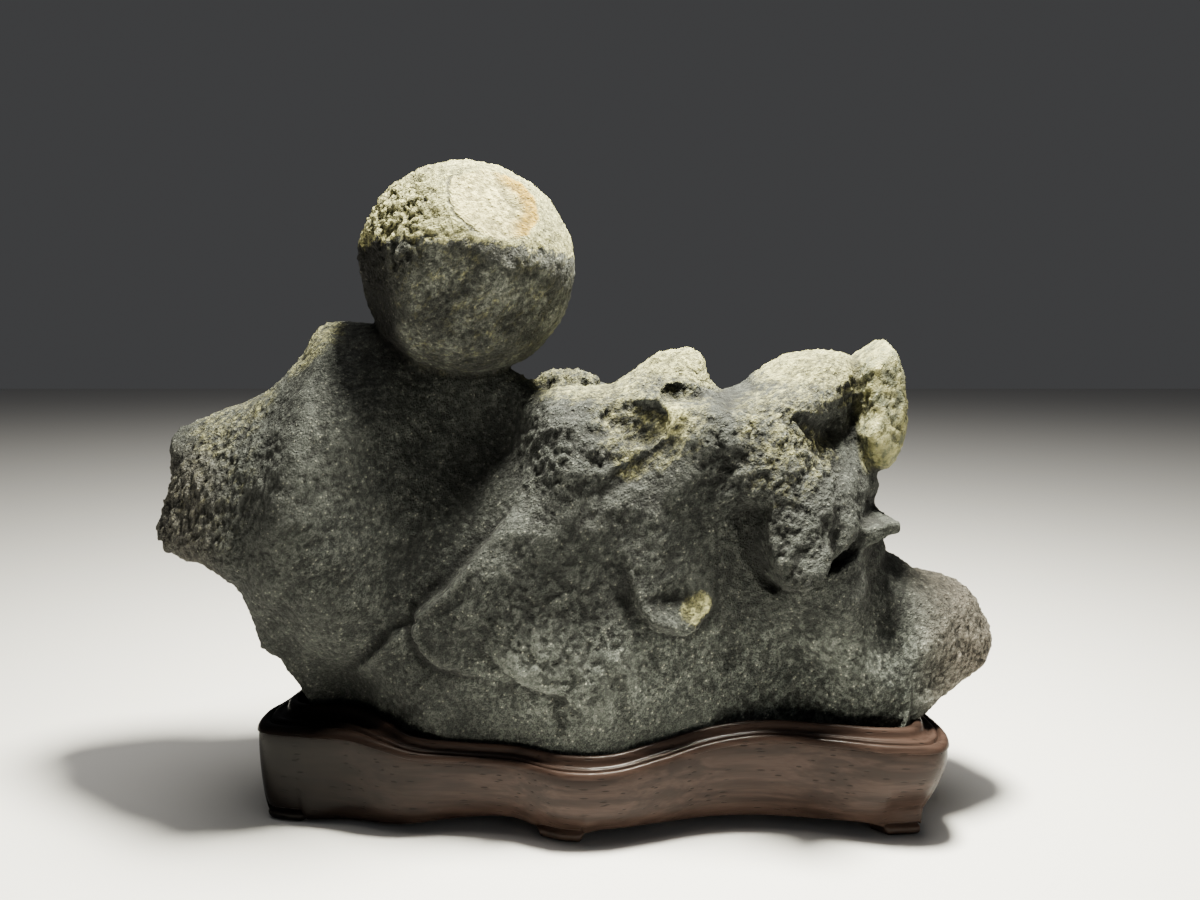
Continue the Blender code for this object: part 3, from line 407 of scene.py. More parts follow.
def ledges(x, z, table):
    """Steps: full height at the line, easing away on the proud side, a short moat below."""
    total = np.zeros(len(x))
    for line, rise, reach in table:
        gap, side, share = read_line(x, z, line)
        fade = np.sqrt(np.clip(np.sin(math.pi * share), 0, 1))
        proud = rise * np.exp(-gap / reach)
        moat = -0.35 * rise * np.exp(-gap / (0.2 * reach))
        upper = ease(0.5 + 0.5 * side * gap / LEDGE_SOFT)
        total += fade * (proud * upper + moat * (1 - upper))
    return total


def ridges(x, z, table):
    total = np.zeros(len(x))
    for line, rise, width in table:
        gap, _, share = read_line(x, z, line)
        fade = np.sqrt(np.clip(np.sin(math.pi * np.clip(share, 0.03, 0.97)), 0, 1))
        total += fade * rise * np.exp(-((gap / width) ** 2))
    return total


def dents(x, z, table):
    total = np.zeros(len(x))
    for cx, cz, wide, high, deep, turn in table:
        cosine, sine = math.cos(math.radians(turn)), math.sin(math.radians(turn))
        across = (x - cx) * cosine + (z - cz) * sine
        up = (z - cz) * cosine - (x - cx) * sine
        total -= deep * np.exp(-((across / wide) ** 2) - (up / high) ** 2)
    return total


def broken(x, z, depth, table):
    """The depth with the face broken flat inside each outline, drawn anticlockwise."""
    for outline, readings in table:
        plane = np.linalg.solve([(1, px, pz) for px, pz, _ in readings], [d for *_, d in readings])
        gap, side, _ = read_line(x, z, outline, closed=True)
        share = ease(0.5 + 0.5 * side * gap / LEDGE_SOFT)
        depth = depth + (plane[0] + plane[1] * x + plane[2] * z - depth) * share
    return depth


def ease(value):
    """0 below 0, 1 above 1, and a smooth climb between."""
    held = np.clip(value, 0, 1)
    return held * held * (3 - 2 * held)


def rim_line(count, spread=None):
    """The rim's stations on a smooth closed curve, at even or at given parameters."""
    table = np.array(RIM, float)
    at = np.arange(count) * len(table) / count if spread is None else spread
    index = np.floor(at).astype(int)
    part = (at - index)[:, None]
    before, here, after, beyond = (table[(index + step) % len(table)] for step in (-1, 0, 1, 2))
    return 0.5 * (
        2 * here
        + (after - before) * part
        + (2 * before - 5 * here + 4 * after - beyond) * part**2
        + (3 * here - before - 3 * after + beyond) * part**3
    )


def seat_depth(x, front):
    """How deep the pocket reaches at x, in front of or behind the middle plane."""
    inner = rim_line(12 * len(RIM))[:, 2:4]
    inner = inner[inner[:, 1] < 0] if front else inner[inner[:, 1] > 0]
    order = np.argsort(inner[:, 0])
    return np.interp(x, inner[order, 0], np.abs(inner[order, 1])) - SEAT_GAP


def front_rim_height():
    """The shoulder's height along the front, as sorted x and height."""
    rim = rim_line(12 * len(RIM))
    front = rim[rim[:, 1] < 0]
    order = np.argsort(front[:, 0])
    return front[order, 0], front[order, 4]


def rounded(inside, reach):
    """A quarter round: 0 at the outline, 1 from reach inwards."""
    return np.sqrt(1 - (1 - np.clip(inside / reach, 0, 1)) ** 2)


def slab_depth(x, z, front):
    """The slab's depth on one face, in millimetres from its middle plane."""
    if front:
        soundings = FRONT_WING + FRONT_HOLLOW + FRONT_MIDDLE + FRONT_SPUR + FRONT_RIGHT
        tables = FRONT_LEDGES, FRONT_RIDGES, FRONT_DENTS
    else:
        soundings = BACK
        tables = BACK_LEDGES, BACK_RIDGES, BACK_DENTS
    relief = ledges(x, z, tables[0]) + ridges(x, z, tables[1]) + dents(x, z, tables[2])
    inside, _, _ = read_line(x, z, SLAB_OUTLINE, closed=True)
    reach = np.clip(thin_plate(EDGE_ROUND)(x, z), 4, 26)
    depth = np.maximum(thin_plate(soundings)(x, z), LEAST_DEPTH) * rounded(inside, reach)
    depth = np.maximum(depth + relief * ease(inside / RELIEF_EDGE), 0)
    return broken(x, z, depth, FRONT_BREAKS if front else ()) + EDGE_LEFT


def disc_depth(x, z, front):
    inside, _, _ = read_line(x, z, DISC_OUTLINE, closed=True)
    depth = thin_plate(DISC_FRONT if front else DISC_BACK)(x, z)
    return depth * rounded(inside, DISC_ROUND) + EDGE_LEFT


# ---------------------------------------------------------------- mesh helpers

def link(name, mesh):
    made = bpy.data.objects.new(name, mesh)
    bpy.context.scene.collection.objects.link(made)
    return made


def shape_to_object(name, shape):
    mesh = bpy.data.meshes.new(name)
    shape.to_mesh(mesh)
    shape.free()
    return link(name, mesh)


def settle(target):
    """Bake an object's modifiers into its mesh."""
    graph = bpy.context.evaluated_depsgraph_get()
    mesh = bpy.data.meshes.new_from_object(target.evaluated_get(graph))
    old = target.data
    target.modifiers.clear()
    target.data = mesh
    bpy.data.meshes.remove(old)


def remesh(target, cell):
    cells = target.modifiers.new("Cells", "REMESH")
    cells.mode = "VOXEL"
    cells.voxel_size = cell * MM
    settle(target)


def read_points(mesh):
    points = np.empty(len(mesh.vertices) * 3)
    mesh.vertices.foreach_get("co", points)
    return points.reshape(-1, 3) / MM


def write_points(mesh, points):
    mesh.vertices.foreach_set("co", (points * MM).ravel())
    mesh.update()


def read_normals(mesh):
    normals = np.empty(len(mesh.vertices) * 3)
    mesh.vertices.foreach_get("normal", normals)
    return normals.reshape(-1, 3)


def spread_over_edges(mesh, values, rounds):
    """Each vertex's values averaged with its neighbours', round after round."""
    ends = np.empty(len(mesh.edges) * 2, np.int32)
    mesh.edges.foreach_get("vertices", ends)
    start, end = ends.reshape(-1, 2).T
    count = len(mesh.vertices)
    shared = np.bincount(start, minlength=count) + np.bincount(end, minlength=count)
    shared = np.maximum(shared, 1)
    values = values.copy()
    for _ in range(rounds):
        for column in range(values.shape[1]):
            held = values[:, column]
            total = np.bincount(start, weights=held[end], minlength=count)
            total += np.bincount(end, weights=held[start], minlength=count)
            values[:, column] = total / shared
    return values


def store(mesh, name, values):
    layer = mesh.attributes.new(name, "FLOAT", "POINT")
    layer.data.foreach_set("value", np.asarray(values, np.float32))


# ---------------------------------------------------------------- the stone

def carve_plate(name, outline, depth_at, cell):
    """A plate: its outline extruded to a blank, then both faces carved to their depths."""
    shape = bmesh.new()
    corners = [shape.verts.new((x * MM, -BLANK_HALF * MM, z * MM)) for x, z in outline]
    drawn = shape.faces.new(corners)
    pulled = bmesh.ops.extrude_face_region(shape, geom=[drawn], use_keep_orig=True)["geom"]
    moved = [part for part in pulled if isinstance(part, bmesh.types.BMVert)]
    bmesh.ops.translate(shape, verts=moved, vec=(0, 2 * BLANK_HALF * MM, 0))
    bmesh.ops.recalc_face_normals(shape, faces=shape.faces)
    bmesh.ops.triangulate(shape, faces=shape.faces)
    plate = shape_to_object(name, shape)
    remesh(plate, cell)
    points = read_points(plate.data)
    x, z = points[:, 0], points[:, 2]
    level = np.clip(points[:, 1] / BLANK_HALF, -1, 1)
    points[:, 1] = level * np.where(level < 0, depth_at(x, z, True), depth_at(x, z, False))
    write_points(plate.data, points)
    return plate


def wear_flat(points, flats):
    """Press unit-sphere points back to the planes that the ball is worn flat on."""
    for direction, reach, taken in flats:
        normal = np.array(direction) / np.linalg.norm(direction)
        over = points @ normal - reach
        points = points - np.outer(np.clip(over, 0, None) * taken, normal)
    return points


def make_round(name, centre, half, flats):
    """A sphere worn flat in places, stretched to its half sizes and put in place."""
    shape = bmesh.new()
    bmesh.ops.create_icosphere(shape, subdivisions=6, radius=1)
    made = shape_to_object(name, shape)
    sphere = read_points(made.data) * MM
    write_points(made.data, wear_flat(sphere, flats) * half + centre)
    return made


def join(name, pieces):
    """One mesh holding all the pieces, with the pieces' own objects removed."""
    shape = bmesh.new()
    for piece in pieces:
        shape.from_mesh(piece.data)
    for piece in pieces:
        bpy.data.objects.remove(piece)
    return shape_to_object(name, shape)


def on_ball(points, reach=1.06):
    """1 on the ball, easing to 0 just outside it."""
    away = np.linalg.norm((points - BALL_CENTRE) / BALL_HALF, axis=1)
    return 1 - ease((away - reach) / 0.05)


def on_disc(points):
    """1 on the disc, to the right of the crack that parts it from the hump."""
    x, z = points[:, 0], points[:, 2]
    right_of_crack = ease((x - CRACK_AT[0]) / CRACK_AT[1])
    low = ease((z - DISC_LOW[0]) / DISC_LOW[1])
    thick = ease(1.5 - np.abs(points[:, 1]) / DISC_THICK)
    return right_of_crack * low * thick * (z > DISC_LEAST)


def zone_share(points, centre, reach):
    """1 in the middle half of a round zone, easing to 0 at its reach."""
    return 1 - ease((np.linalg.norm(points - centre, axis=1) / reach - 0.5) / 0.5)


def roughness_of(points):
    rough = np.full(len(points), ROUGH_EVERYWHERE)
    for centre, reach, share in ROUGH_ZONES:
        rough = np.maximum(rough, share * zone_share(points, centre, reach))
    return rough


def pit_depth(points):
    """Scattered pits with sharp rims, each zone of them fading at its edge."""
    depth = np.zeros(len(points))
    for centre, reach, spacing, deep in PIT_ZONES:
        near = zone_share(points, centre, reach)
        for index in np.flatnonzero(near > 0.02):
            place = Vector(points[index]) / spacing
            pulled = noise.noise_vector(place * PIT_TWIST[0]) * PIT_TWIST[1]
            gap = noise.voronoi(place + pulled)[0][0]
            depth[index] += deep * near[index] * max(0.0, 1 - gap / PIT_RADIUS) ** PIT_WALL
    return depth


def in_cells(across, y, along, cell):
    return Vector((across / cell[0], y / cell[1], along / cell[2]))


def weather(rock, settings):
    """Uneven lumps, crumbling edges, a slanting grain across the face, and pits."""
    mesh = rock.data
    points = read_points(mesh)
    normals = read_normals(mesh)
    rough = roughness_of(points)
    quiet = 1 - np.maximum(0.6 * on_ball(points), 0.85 * on_disc(points))
    shift = -pit_depth(points)
    for index, (x, y, z) in enumerate(points):
        place = Vector((x, y, z))
        along, across = GRAIN_X * x + GRAIN_Z * z, GRAIN_Z * x - GRAIN_X * z
        lumps = LUMP_RISE * noise.fractal(place / LUMP_CELL, 0.9, 2.1, 4)
        lumps += WAVE_RISE * noise.noise(in_cells(across, y, along, WAVE_CELL))
        crags = noise.turbulence(in_cells(across, y, along, CRAG_CELL), 4, True) - 0.45
        crumbs = noise.turbulence(in_cells(across, y, along, CRUMB_CELL), 2, True) - 0.4
        shift[index] += quiet[index] * lumps + CRAG_RISE * rough[index] * crags
        shift[index] += settings.grain_height / MM * (0.7 + 1.5 * rough[index]) * crumbs
    write_points(mesh, points + normals * shift[:, None])


def lean(rock):
    """Slide each part nearer or farther along its line of sight, so the outline stays."""
    points = read_points(rock.data)
    away = thin_plate(LEAN)(points[:, 0], points[:, 2])
    grown = 1 + away / (points[:, 1] - EYE[1])
    write_points(rock.data, EYE + (points - EYE) * grown[:, None])


def fit_seat(rock):
    """Draw the rock's foot in so that it stands inside the stand's pocket."""
    points = read_points(rock.data)
    x, y, z = points.T
    rim = np.interp(x, *front_rim_height())
    inside = ease((x + SEAT_END) / SEAT_FADE) * ease((SEAT_END - x) / SEAT_FADE)
    held = 1 - ease((z - rim - SEAT_CLEAR) / SEAT_RISE)
    below = z < rim + SEAT_CLEAR
    corner = np.clip(x, -SEAT_CORNER, SEAT_CORNER)
    for front in (True, False):
        limit = np.where(below, seat_depth(x, front), seat_depth(corner, front))
        facing = y < 0 if front else y > 0
        excess = np.clip(np.abs(y) - limit, 0, None)
        pulled = np.where(facing, excess * held * inside, 0)
        y = y + pulled * (1 if front else -1)
    points[:, 1] = y
    points[:, 0] = np.where(below, np.clip(x, SEAT_LEFT, SEAT_RIGHT), x)
    points[:, 2] = np.maximum(z, POCKET_FLOOR + 0.5)
    write_points(rock.data, points)


def thin_back(rock, share):
    """Fewer triangles on the back and the hidden foot, where nothing fine is seen."""
    normals = read_normals(rock.data)
    points = read_points(rock.data)
    behind = ease((normals[:, 1] - 0.1) / 0.5)
    behind = np.maximum(behind, 1.0 * (points[:, 2] < HIDDEN_BELOW))
    group = rock.vertex_groups.new(name="back")
    for level in range(1, THIN_LEVELS + 1):
        chosen = np.flatnonzero(np.round(behind * THIN_LEVELS) == level)
        group.add(chosen.tolist(), level / THIN_LEVELS, "REPLACE")
    thin = rock.modifiers.new("Thin", "DECIMATE")
    thin.ratio = share
    thin.vertex_group = "back"
    thin.vertex_group_factor = 4
    settle(rock)
    rock.vertex_groups.clear()


def tell_surface(rock):
    """Keep on each vertex what the finish needs to know of the place."""
    mesh = rock.data
    points = read_points(mesh)
    normals = read_normals(mesh)
    # How sunk each vertex lies, finely and broadly: the finish darkens sunk places with these as
    # painted shade, and lightens raised places as painted light.
    for name, rounds, depth in (("hollow", 4, 0.45), ("recess", 60, 2.5)):
        smooth = spread_over_edges(mesh, points, rounds)
        sunk = ((smooth - points) * normals).sum(axis=1)
        store(mesh, name, np.clip(0.5 + 0.5 * sunk / depth, 0, 1))
    x, _, z = points.T
    ball = on_ball(points, 1.03)
    above_break = z - BREAK_HEIGHT + BREAK_SLOPE * (x - BALL_CENTRE[0])
    above_break = np.clip(above_break / BREAK_FADE + 0.5, 0, 1)
    store(mesh, "ball", ball)
    store(mesh, "dome", ball * above_break)
    store(mesh, "disc", on_disc(points))
    store(mesh, "rough", roughness_of(points))
    pale = np.zeros(len(points))
    for centre, reach, share in PALE_ZONES:
        pale = np.maximum(pale, share * zone_share(points, centre, reach))
    store(mesh, "pale", pale * (1 - ball) * ease((normals[:, 2] + 0.35) / 0.6))
    tan = 0
    for outwards, (begin, length, top, fade, share) in ((x, TAN_RIGHT), (-x, TAN_LEFT)):
        tan = tan + share * ease((outwards - begin) / length) * (1 - ease((z - top) / fade))
    store(mesh, "tan", np.clip(tan, 0, 1))


def make_stone(settings):
    cell = settings.cell / MM
    slab = carve_plate("slab", SLAB_OUTLINE, slab_depth, cell)
    disc = carve_plate("disc", DISC_OUTLINE, disc_depth, cell)
    ball = make_round("ball", BALL_CENTRE, BALL_HALF, BALL_FLATS)
    lump = make_round("lump", LUMP_CENTRE, LUMP_HALF, ())
    stone = join("stone", (slab, ball, disc, lump))
    remesh(stone, cell)
    lean(stone)
    weather(stone, settings)
    fit_seat(stone)
    thin_back(stone, settings.kept_share)
    tell_surface(stone)
    write_points(stone.data, read_points(stone.data) - MIDDLE)
    stone.data.shade_smooth()
    return stone


# ---------------------------------------------------------------- the stand

def foot_reading(at):
    """How far each station lies from the nearest foot, along the rim, in millimetres."""
    scale = STATION_SHARES
    fine = rim_line(scale * len(RIM))
    steps = np.linalg.norm(np.diff(fine[:, :2], axis=0, append=fine[:1, :2]), axis=1)
    run = np.concatenate(((0,), np.cumsum(steps)))
    here = np.interp(at * scale, np.arange(len(fine) + 1), run)
    away = np.full(len(at), 1e9)
    for foot in FEET:
        gap = np.abs(here - np.interp(foot * scale, np.arange(len(fine) + 1), run))
        away = np.minimum(away, np.minimum(gap, run[-1] - gap))
    return away


def stand_stations(count):
    """Parameters of the rim's stations, drawn closer together around the feet."""
    at = np.linspace(0, len(RIM), STATION_SHARES * len(RIM) + 1)
    away = foot_reading(at)
    weight = 1 + CROWD * np.exp(-(((away - FOOT_HALF) / CROWD_REACH) ** 2))
    total = np.concatenate(((0,), np.cumsum((weight[1:] + weight[:-1]) / 2)))
    return np.interp(np.arange(count) / count * total[-1], total, at)


def stand_rings(count):
    """Closed rings of points, from the pocket's floor over the rim and down to the underside."""
    at = stand_stations(count)
    rim = rim_line(count, at)
    outer, inner, shoulder = rim[:, :2], rim[:, 2:4], rim[:, 4]
    away = foot_reading(at)
    on_foot = 1 - ease((away - FOOT_HALF) / FOOT_END)
    x, y = outer[:, 0], outer[:, 1]
    front = np.interp(x, *zip(*APRON_FRONT))
    apron = APRON_UP + (front - APRON_UP) * ease((-y - 5) / 20)
    curve = 1 - ease((away - FOOT_HALF) / BRACKET)
    apron += (np.minimum(BRACKET_DOWN, apron) - apron) * curve
    edge = apron + (FOOT_SECTION[0][0] - apron) * on_foot
    at_left = ease((LEFT_END[0] - x) / LEFT_END[1])
    at_right = ease((x - RIGHT_END[0]) / RIGHT_END[1])
    ahead, behind = np.roll(outer, -1, axis=0), np.roll(outer, 1, axis=0)
    run = ahead - behind
    out = np.column_stack((run[:, 1], -run[:, 0])) / np.linalg.norm(run, axis=1)[:, None]
    out *= -1 if np.cross(run[0], outer.mean(axis=0) - outer[0]) < 0 else 1
    across = inner - outer
    across /= np.linalg.norm(across, axis=1)[:, None]

    def ring(plan, height):
        return np.column_stack((plan, np.broadcast_to(height, away.shape)))

    rings = [ring(inner, POCKET_FLOOR)]
    for share, rise in RIM_SECTION:
        rings.append(ring(outer + (inner - outer) * share, shoulder + rise))
    for (share, set_in), left, right in zip(WALL_SECTION, WALL_LEFT, WALL_RIGHT):
        top = shoulder - RIM_DROP
        base = set_in + (left - set_in) * at_left + (right - set_in) * at_right
        rings.append(ring(outer - out * base[:, None], edge + share * (top - edge)))
    for height, set_in in FOOT_SECTION:
        level = apron + (height - apron) * on_foot
        push = base + APRON_SECTION + (set_in - APRON_SECTION) * on_foot
        rings.append(ring(outer - out * push[:, None], level))
    bottom = apron * (1 - on_foot)
    rings.append(ring(outer + across * FOOT_DEEP, bottom))
    rings.append(ring(outer + across * (FOOT_DEEP + 1), UNDERSIDE))
    return rings


def make_stand():
    """A ring of stations, extruded from the pocket over the rim and down, closed at both ends."""
    rings = stand_rings(STAND_STATIONS)
    shape = bmesh.new()
    station = shape.verts.layers.int.new("station")
    first = bmesh.ops.create_circle(shape, segments=STAND_STATIONS, radius=1)["verts"]
    for index, vert in enumerate(first):
        vert[station] = index
        vert.co = Vector(rings[0][index]) * MM
    edges = list(shape.edges)
    bmesh.ops.edgeloop_fill(shape, edges=edges)
    for ring in rings[1:]:
        pulled = bmesh.ops.extrude_edge_only(shape, edges=edges)["geom"]
        edges = [part for part in pulled if isinstance(part, bmesh.types.BMEdge)]
        for vert in (part for part in pulled if isinstance(part, bmesh.types.BMVert)):
            vert.co = Vector(ring[vert[station]]) * MM
    bmesh.ops.edgeloop_fill(shape, edges=edges)
    bmesh.ops.recalc_face_normals(shape, faces=shape.faces)
    caps = [face for face in shape.faces if len(face.verts) > 4]
    bmesh.ops.triangulate(shape, faces=caps)
    stand = shape_to_object("display_stand", shape)
    write_points(stand.data, read_points(stand.data) - MIDDLE)
    stand.data.shade_smooth()
    stand.data.set_sharp_from_angle(angle=SHARP_ANGLE)
    return stand


# ---------------------------------------------------------------- finishes

class Finish:
    """A material's node tree with short names for what this object's finishes use."""

    def __init__(self, name):
        self.material = bpy.data.materials.new(name)
        self.material.use_nodes = True
        self.nodes = self.material.node_tree.nodes
        self.shader = self.nodes["Principled BSDF"]
        self.place = self.add("ShaderNodeTexCoord").outputs["Object"]

    def add(self, kind, **settings):
        node = self.nodes.new(kind)
        for key, value in settings.items():
            setattr(node, key, value)
        return node

    def feed(self, socket, value):
        """Link an output to the socket, or set a plain value on it."""
        if isinstance(value, bpy.types.NodeSocket):
            self.material.node_tree.links.new(value, socket)
        elif value is not None:
            socket.default_value = value

    def spread(self, cell, turn=0.0):
        """Object coordinates counted in cells of these sizes in metres, after a turn about Y."""
        node = self.add("ShaderNodeMapping", vector_type="TEXTURE")
        self.feed(node.inputs["Vector"], self.place)
        node.inputs["Rotation"].default_value = (0, turn, 0)
        node.inputs["Scale"].default_value = cell
        return node.outputs["Vector"]

    def along(self, axis):
        """The place's X, Y or Z alone, in metres."""
        apart = self.add("ShaderNodeSeparateXYZ")
        self.feed(apart.inputs["Vector"], self.place)
        return apart.outputs[axis]

    def clouds(self, place, detail=2.0, rough=0.5, bend=0.0):
        node = self.add("ShaderNodeTexNoise")
        self.feed(node.inputs["Vector"], place)
        node.inputs["Scale"].default_value = 1.0
        node.inputs["Detail"].default_value = detail
        node.inputs["Roughness"].default_value = rough
        node.inputs["Distortion"].default_value = bend
        return node.outputs["Fac"]

    def crumbs(self, place):
        """Distance to the nearest scattered grain, and a number that is random for each."""
        node = self.add("ShaderNodeTexVoronoi")
        self.feed(node.inputs["Vector"], place)
        node.inputs["Scale"].default_value = 1.0
        apart = self.add("ShaderNodeSeparateColor")
        self.feed(apart.inputs["Color"], node.outputs["Color"])
        return node.outputs["Distance"], apart.outputs["Red"]

    def step(self, value, low, high, to_low=0.0, to_high=1.0):
        node = self.add("ShaderNodeMapRange", interpolation_type="SMOOTHSTEP")
        self.feed(node.inputs["Value"], value)
        ends = {"From Min": low, "From Max": high, "To Min": to_low, "To Max": to_high}
        for key, number in ends.items():
            node.inputs[key].default_value = number
        return node.outputs["Result"]

    def sum(self, kind, first, second=None, third=None):
        node = self.add("ShaderNodeMath", operation=kind)
        for socket, value in zip(node.inputs, (first, second, third)):
            self.feed(socket, value)
        return node.outputs["Value"]

    def times(self, first, *others):
        """The product of all that is given."""
        for other in others:
            first = self.sum("MULTIPLY", first, other)
        return first

    def weighed(self, total, *parts):
        """The first value, with each further (part, weight) added to it in turn."""
        for part, weight in parts:
            total = self.sum("MULTIPLY_ADD", part, weight, total)
        return total

    def mix(self, share, first, second, blend="MIX"):
        node = self.add("ShaderNodeMix", data_type="RGBA", blend_type=blend)
        self.feed(node.inputs["Factor"], share)
        self.feed(node.inputs["A"], (*first, 1) if isinstance(first, tuple) else first)
        self.feed(node.inputs["B"], (*second, 1) if isinstance(second, tuple) else second)
        return node.outputs["Result"]

    def told(self, name):
        return self.add("ShaderNodeAttribute", attribute_name=name).outputs["Fac"]

    def bump(self, height, reach):
        node = self.add("ShaderNodeBump")
        node.inputs["Strength"].default_value = 1.0
        node.inputs["Distance"].default_value = reach
        self.feed(node.inputs["Height"], height)
        self.feed(self.shader.inputs["Normal"], node.outputs["Normal"])


GRAIN_TURN = math.radians(40)   # the fabric climbs to the right at fifty degrees
CRUST_DARK = (0.075, 0.074, 0.037)
BALL_DARK = (0.021, 0.0232, 0.0200)
BALL_GREY = (0.074, 0.078, 0.065)
DISC_GREEN = (0.086, 0.092, 0.056)
TAN_DARK = (0.050, 0.041, 0.033)
TAN_LIGHT = (0.140, 0.118, 0.090)
SCAR_CREAM = (0.38, 0.33, 0.14)
RUST = (0.21, 0.135, 0.010)
# painted shade in the pits and the crack
PIT_SHADE_DARK = (0.012, 0.012, 0.010)
GRAIN_PALE = (0.28, 0.28, 0.22)
FIBRE_BROWN = (0.015, 0.007, 0.005)
WOOD_PORE = (0.006, 0.004, 0.003)

# The stone's patterns, fine to broad: (cell in metres, detail, roughness of the noise).
STONE_CLOUDS = (
    ((0.0005, 0.0005, 0.0007), 2.0, 0.7),
    ((0.0012, 0.0012, 0.0020), 3.0, 0.8),
    ((0.0034, 0.0034, 0.0060), 3.0, 0.65),
    ((0.013, 0.013, 0.017), 3.0, 0.6),
    ((0.040, 0.040, 0.055), 3.0, 0.55),
)
GRAIN_CELL = (0.0012, 0.0012, 0.0015)
PORE_CELL = (0.0031, 0.0031, 0.0042)
FIGURE_CELL = (0.050, 0.0034, 0.0034)
FIBRE_CELL = (0.012, 0.0007, 0.0007)
WOOD_PORE_CELL = (0.0065, 0.0011, 0.0011)
WOOD_BUMP = 0.00012

# Where tones change across the object, most of them painted light and shade: (from, to) along X or
# Z, in metres.
# the ball's left side, darkened almost to black as painted shade
BALL_SHADED_LEFT_X = (-0.069, -0.060)
# the ball's under part, darker towards its foot as painted shade
BALL_SHADED_LOW_Z = (0.172, 0.216)
# low down, from the middle rightwards, lightened as painted light bounced from the floor
BOUNCE_LIT_Z = (0.092, 0.062)
BOUNCE_LIT_X = (-0.06, 0.0)
RIGHT_END_X = (0.122, 0.150)
# the stand's left end darkened as painted shade, its middle and right lightened as painted light
STAND_SHADED_LEFT_X = (-0.12, 0.0)


def tint(made, colour, share):
    """The colour made darker or lighter by a share that differs from place to place."""
    grey = made.add("ShaderNodeCombineColor")
    for channel in grey.inputs:
        made.feed(channel, share)
    return made.mix(1.0, colour, grey.outputs["Color"], "MULTIPLY")


def scar_marks(made):
    """Distance from the middle of the ball's flat scar and place to its right, both in shares of
    its radius, and 1 near the scar's plane, easing to 0 away from it."""
    direction = Vector(BALL_FLATS[0][0]).normalized()
    half = float(BALL_HALF.mean())
    centre = (Vector(BALL_CENTRE - MIDDLE) + direction * half * BALL_FLATS[0][1]) * MM
    node = made.add("ShaderNodeMapping", vector_type="TEXTURE")
    made.feed(node.inputs["Vector"], made.place)
    node.inputs["Location"].default_value = centre
    node.inputs["Rotation"].default_value = direction.to_track_quat("-Y", "Z").to_euler()
    node.inputs["Scale"].default_value = (half * SCAR_SHARE * MM,) * 3
    apart = made.add("ShaderNodeSeparateXYZ")
    made.feed(apart.inputs["Vector"], node.outputs["Vector"])
    right, deep, up = (apart.outputs[axis] for axis in "XYZ")
    wander = made.weighed(-0.15, (made.clouds(made.spread((0.006,) * 3), 3.0, 0.6), 0.30))
    away = made.sum("SQRT", made.weighed(made.times(up, up), (right, right)))
    away = made.sum("ADD", away, wander)
    near = made.step(made.sum("ABSOLUTE", deep), 0.9, 0.6)
    return away, right, near


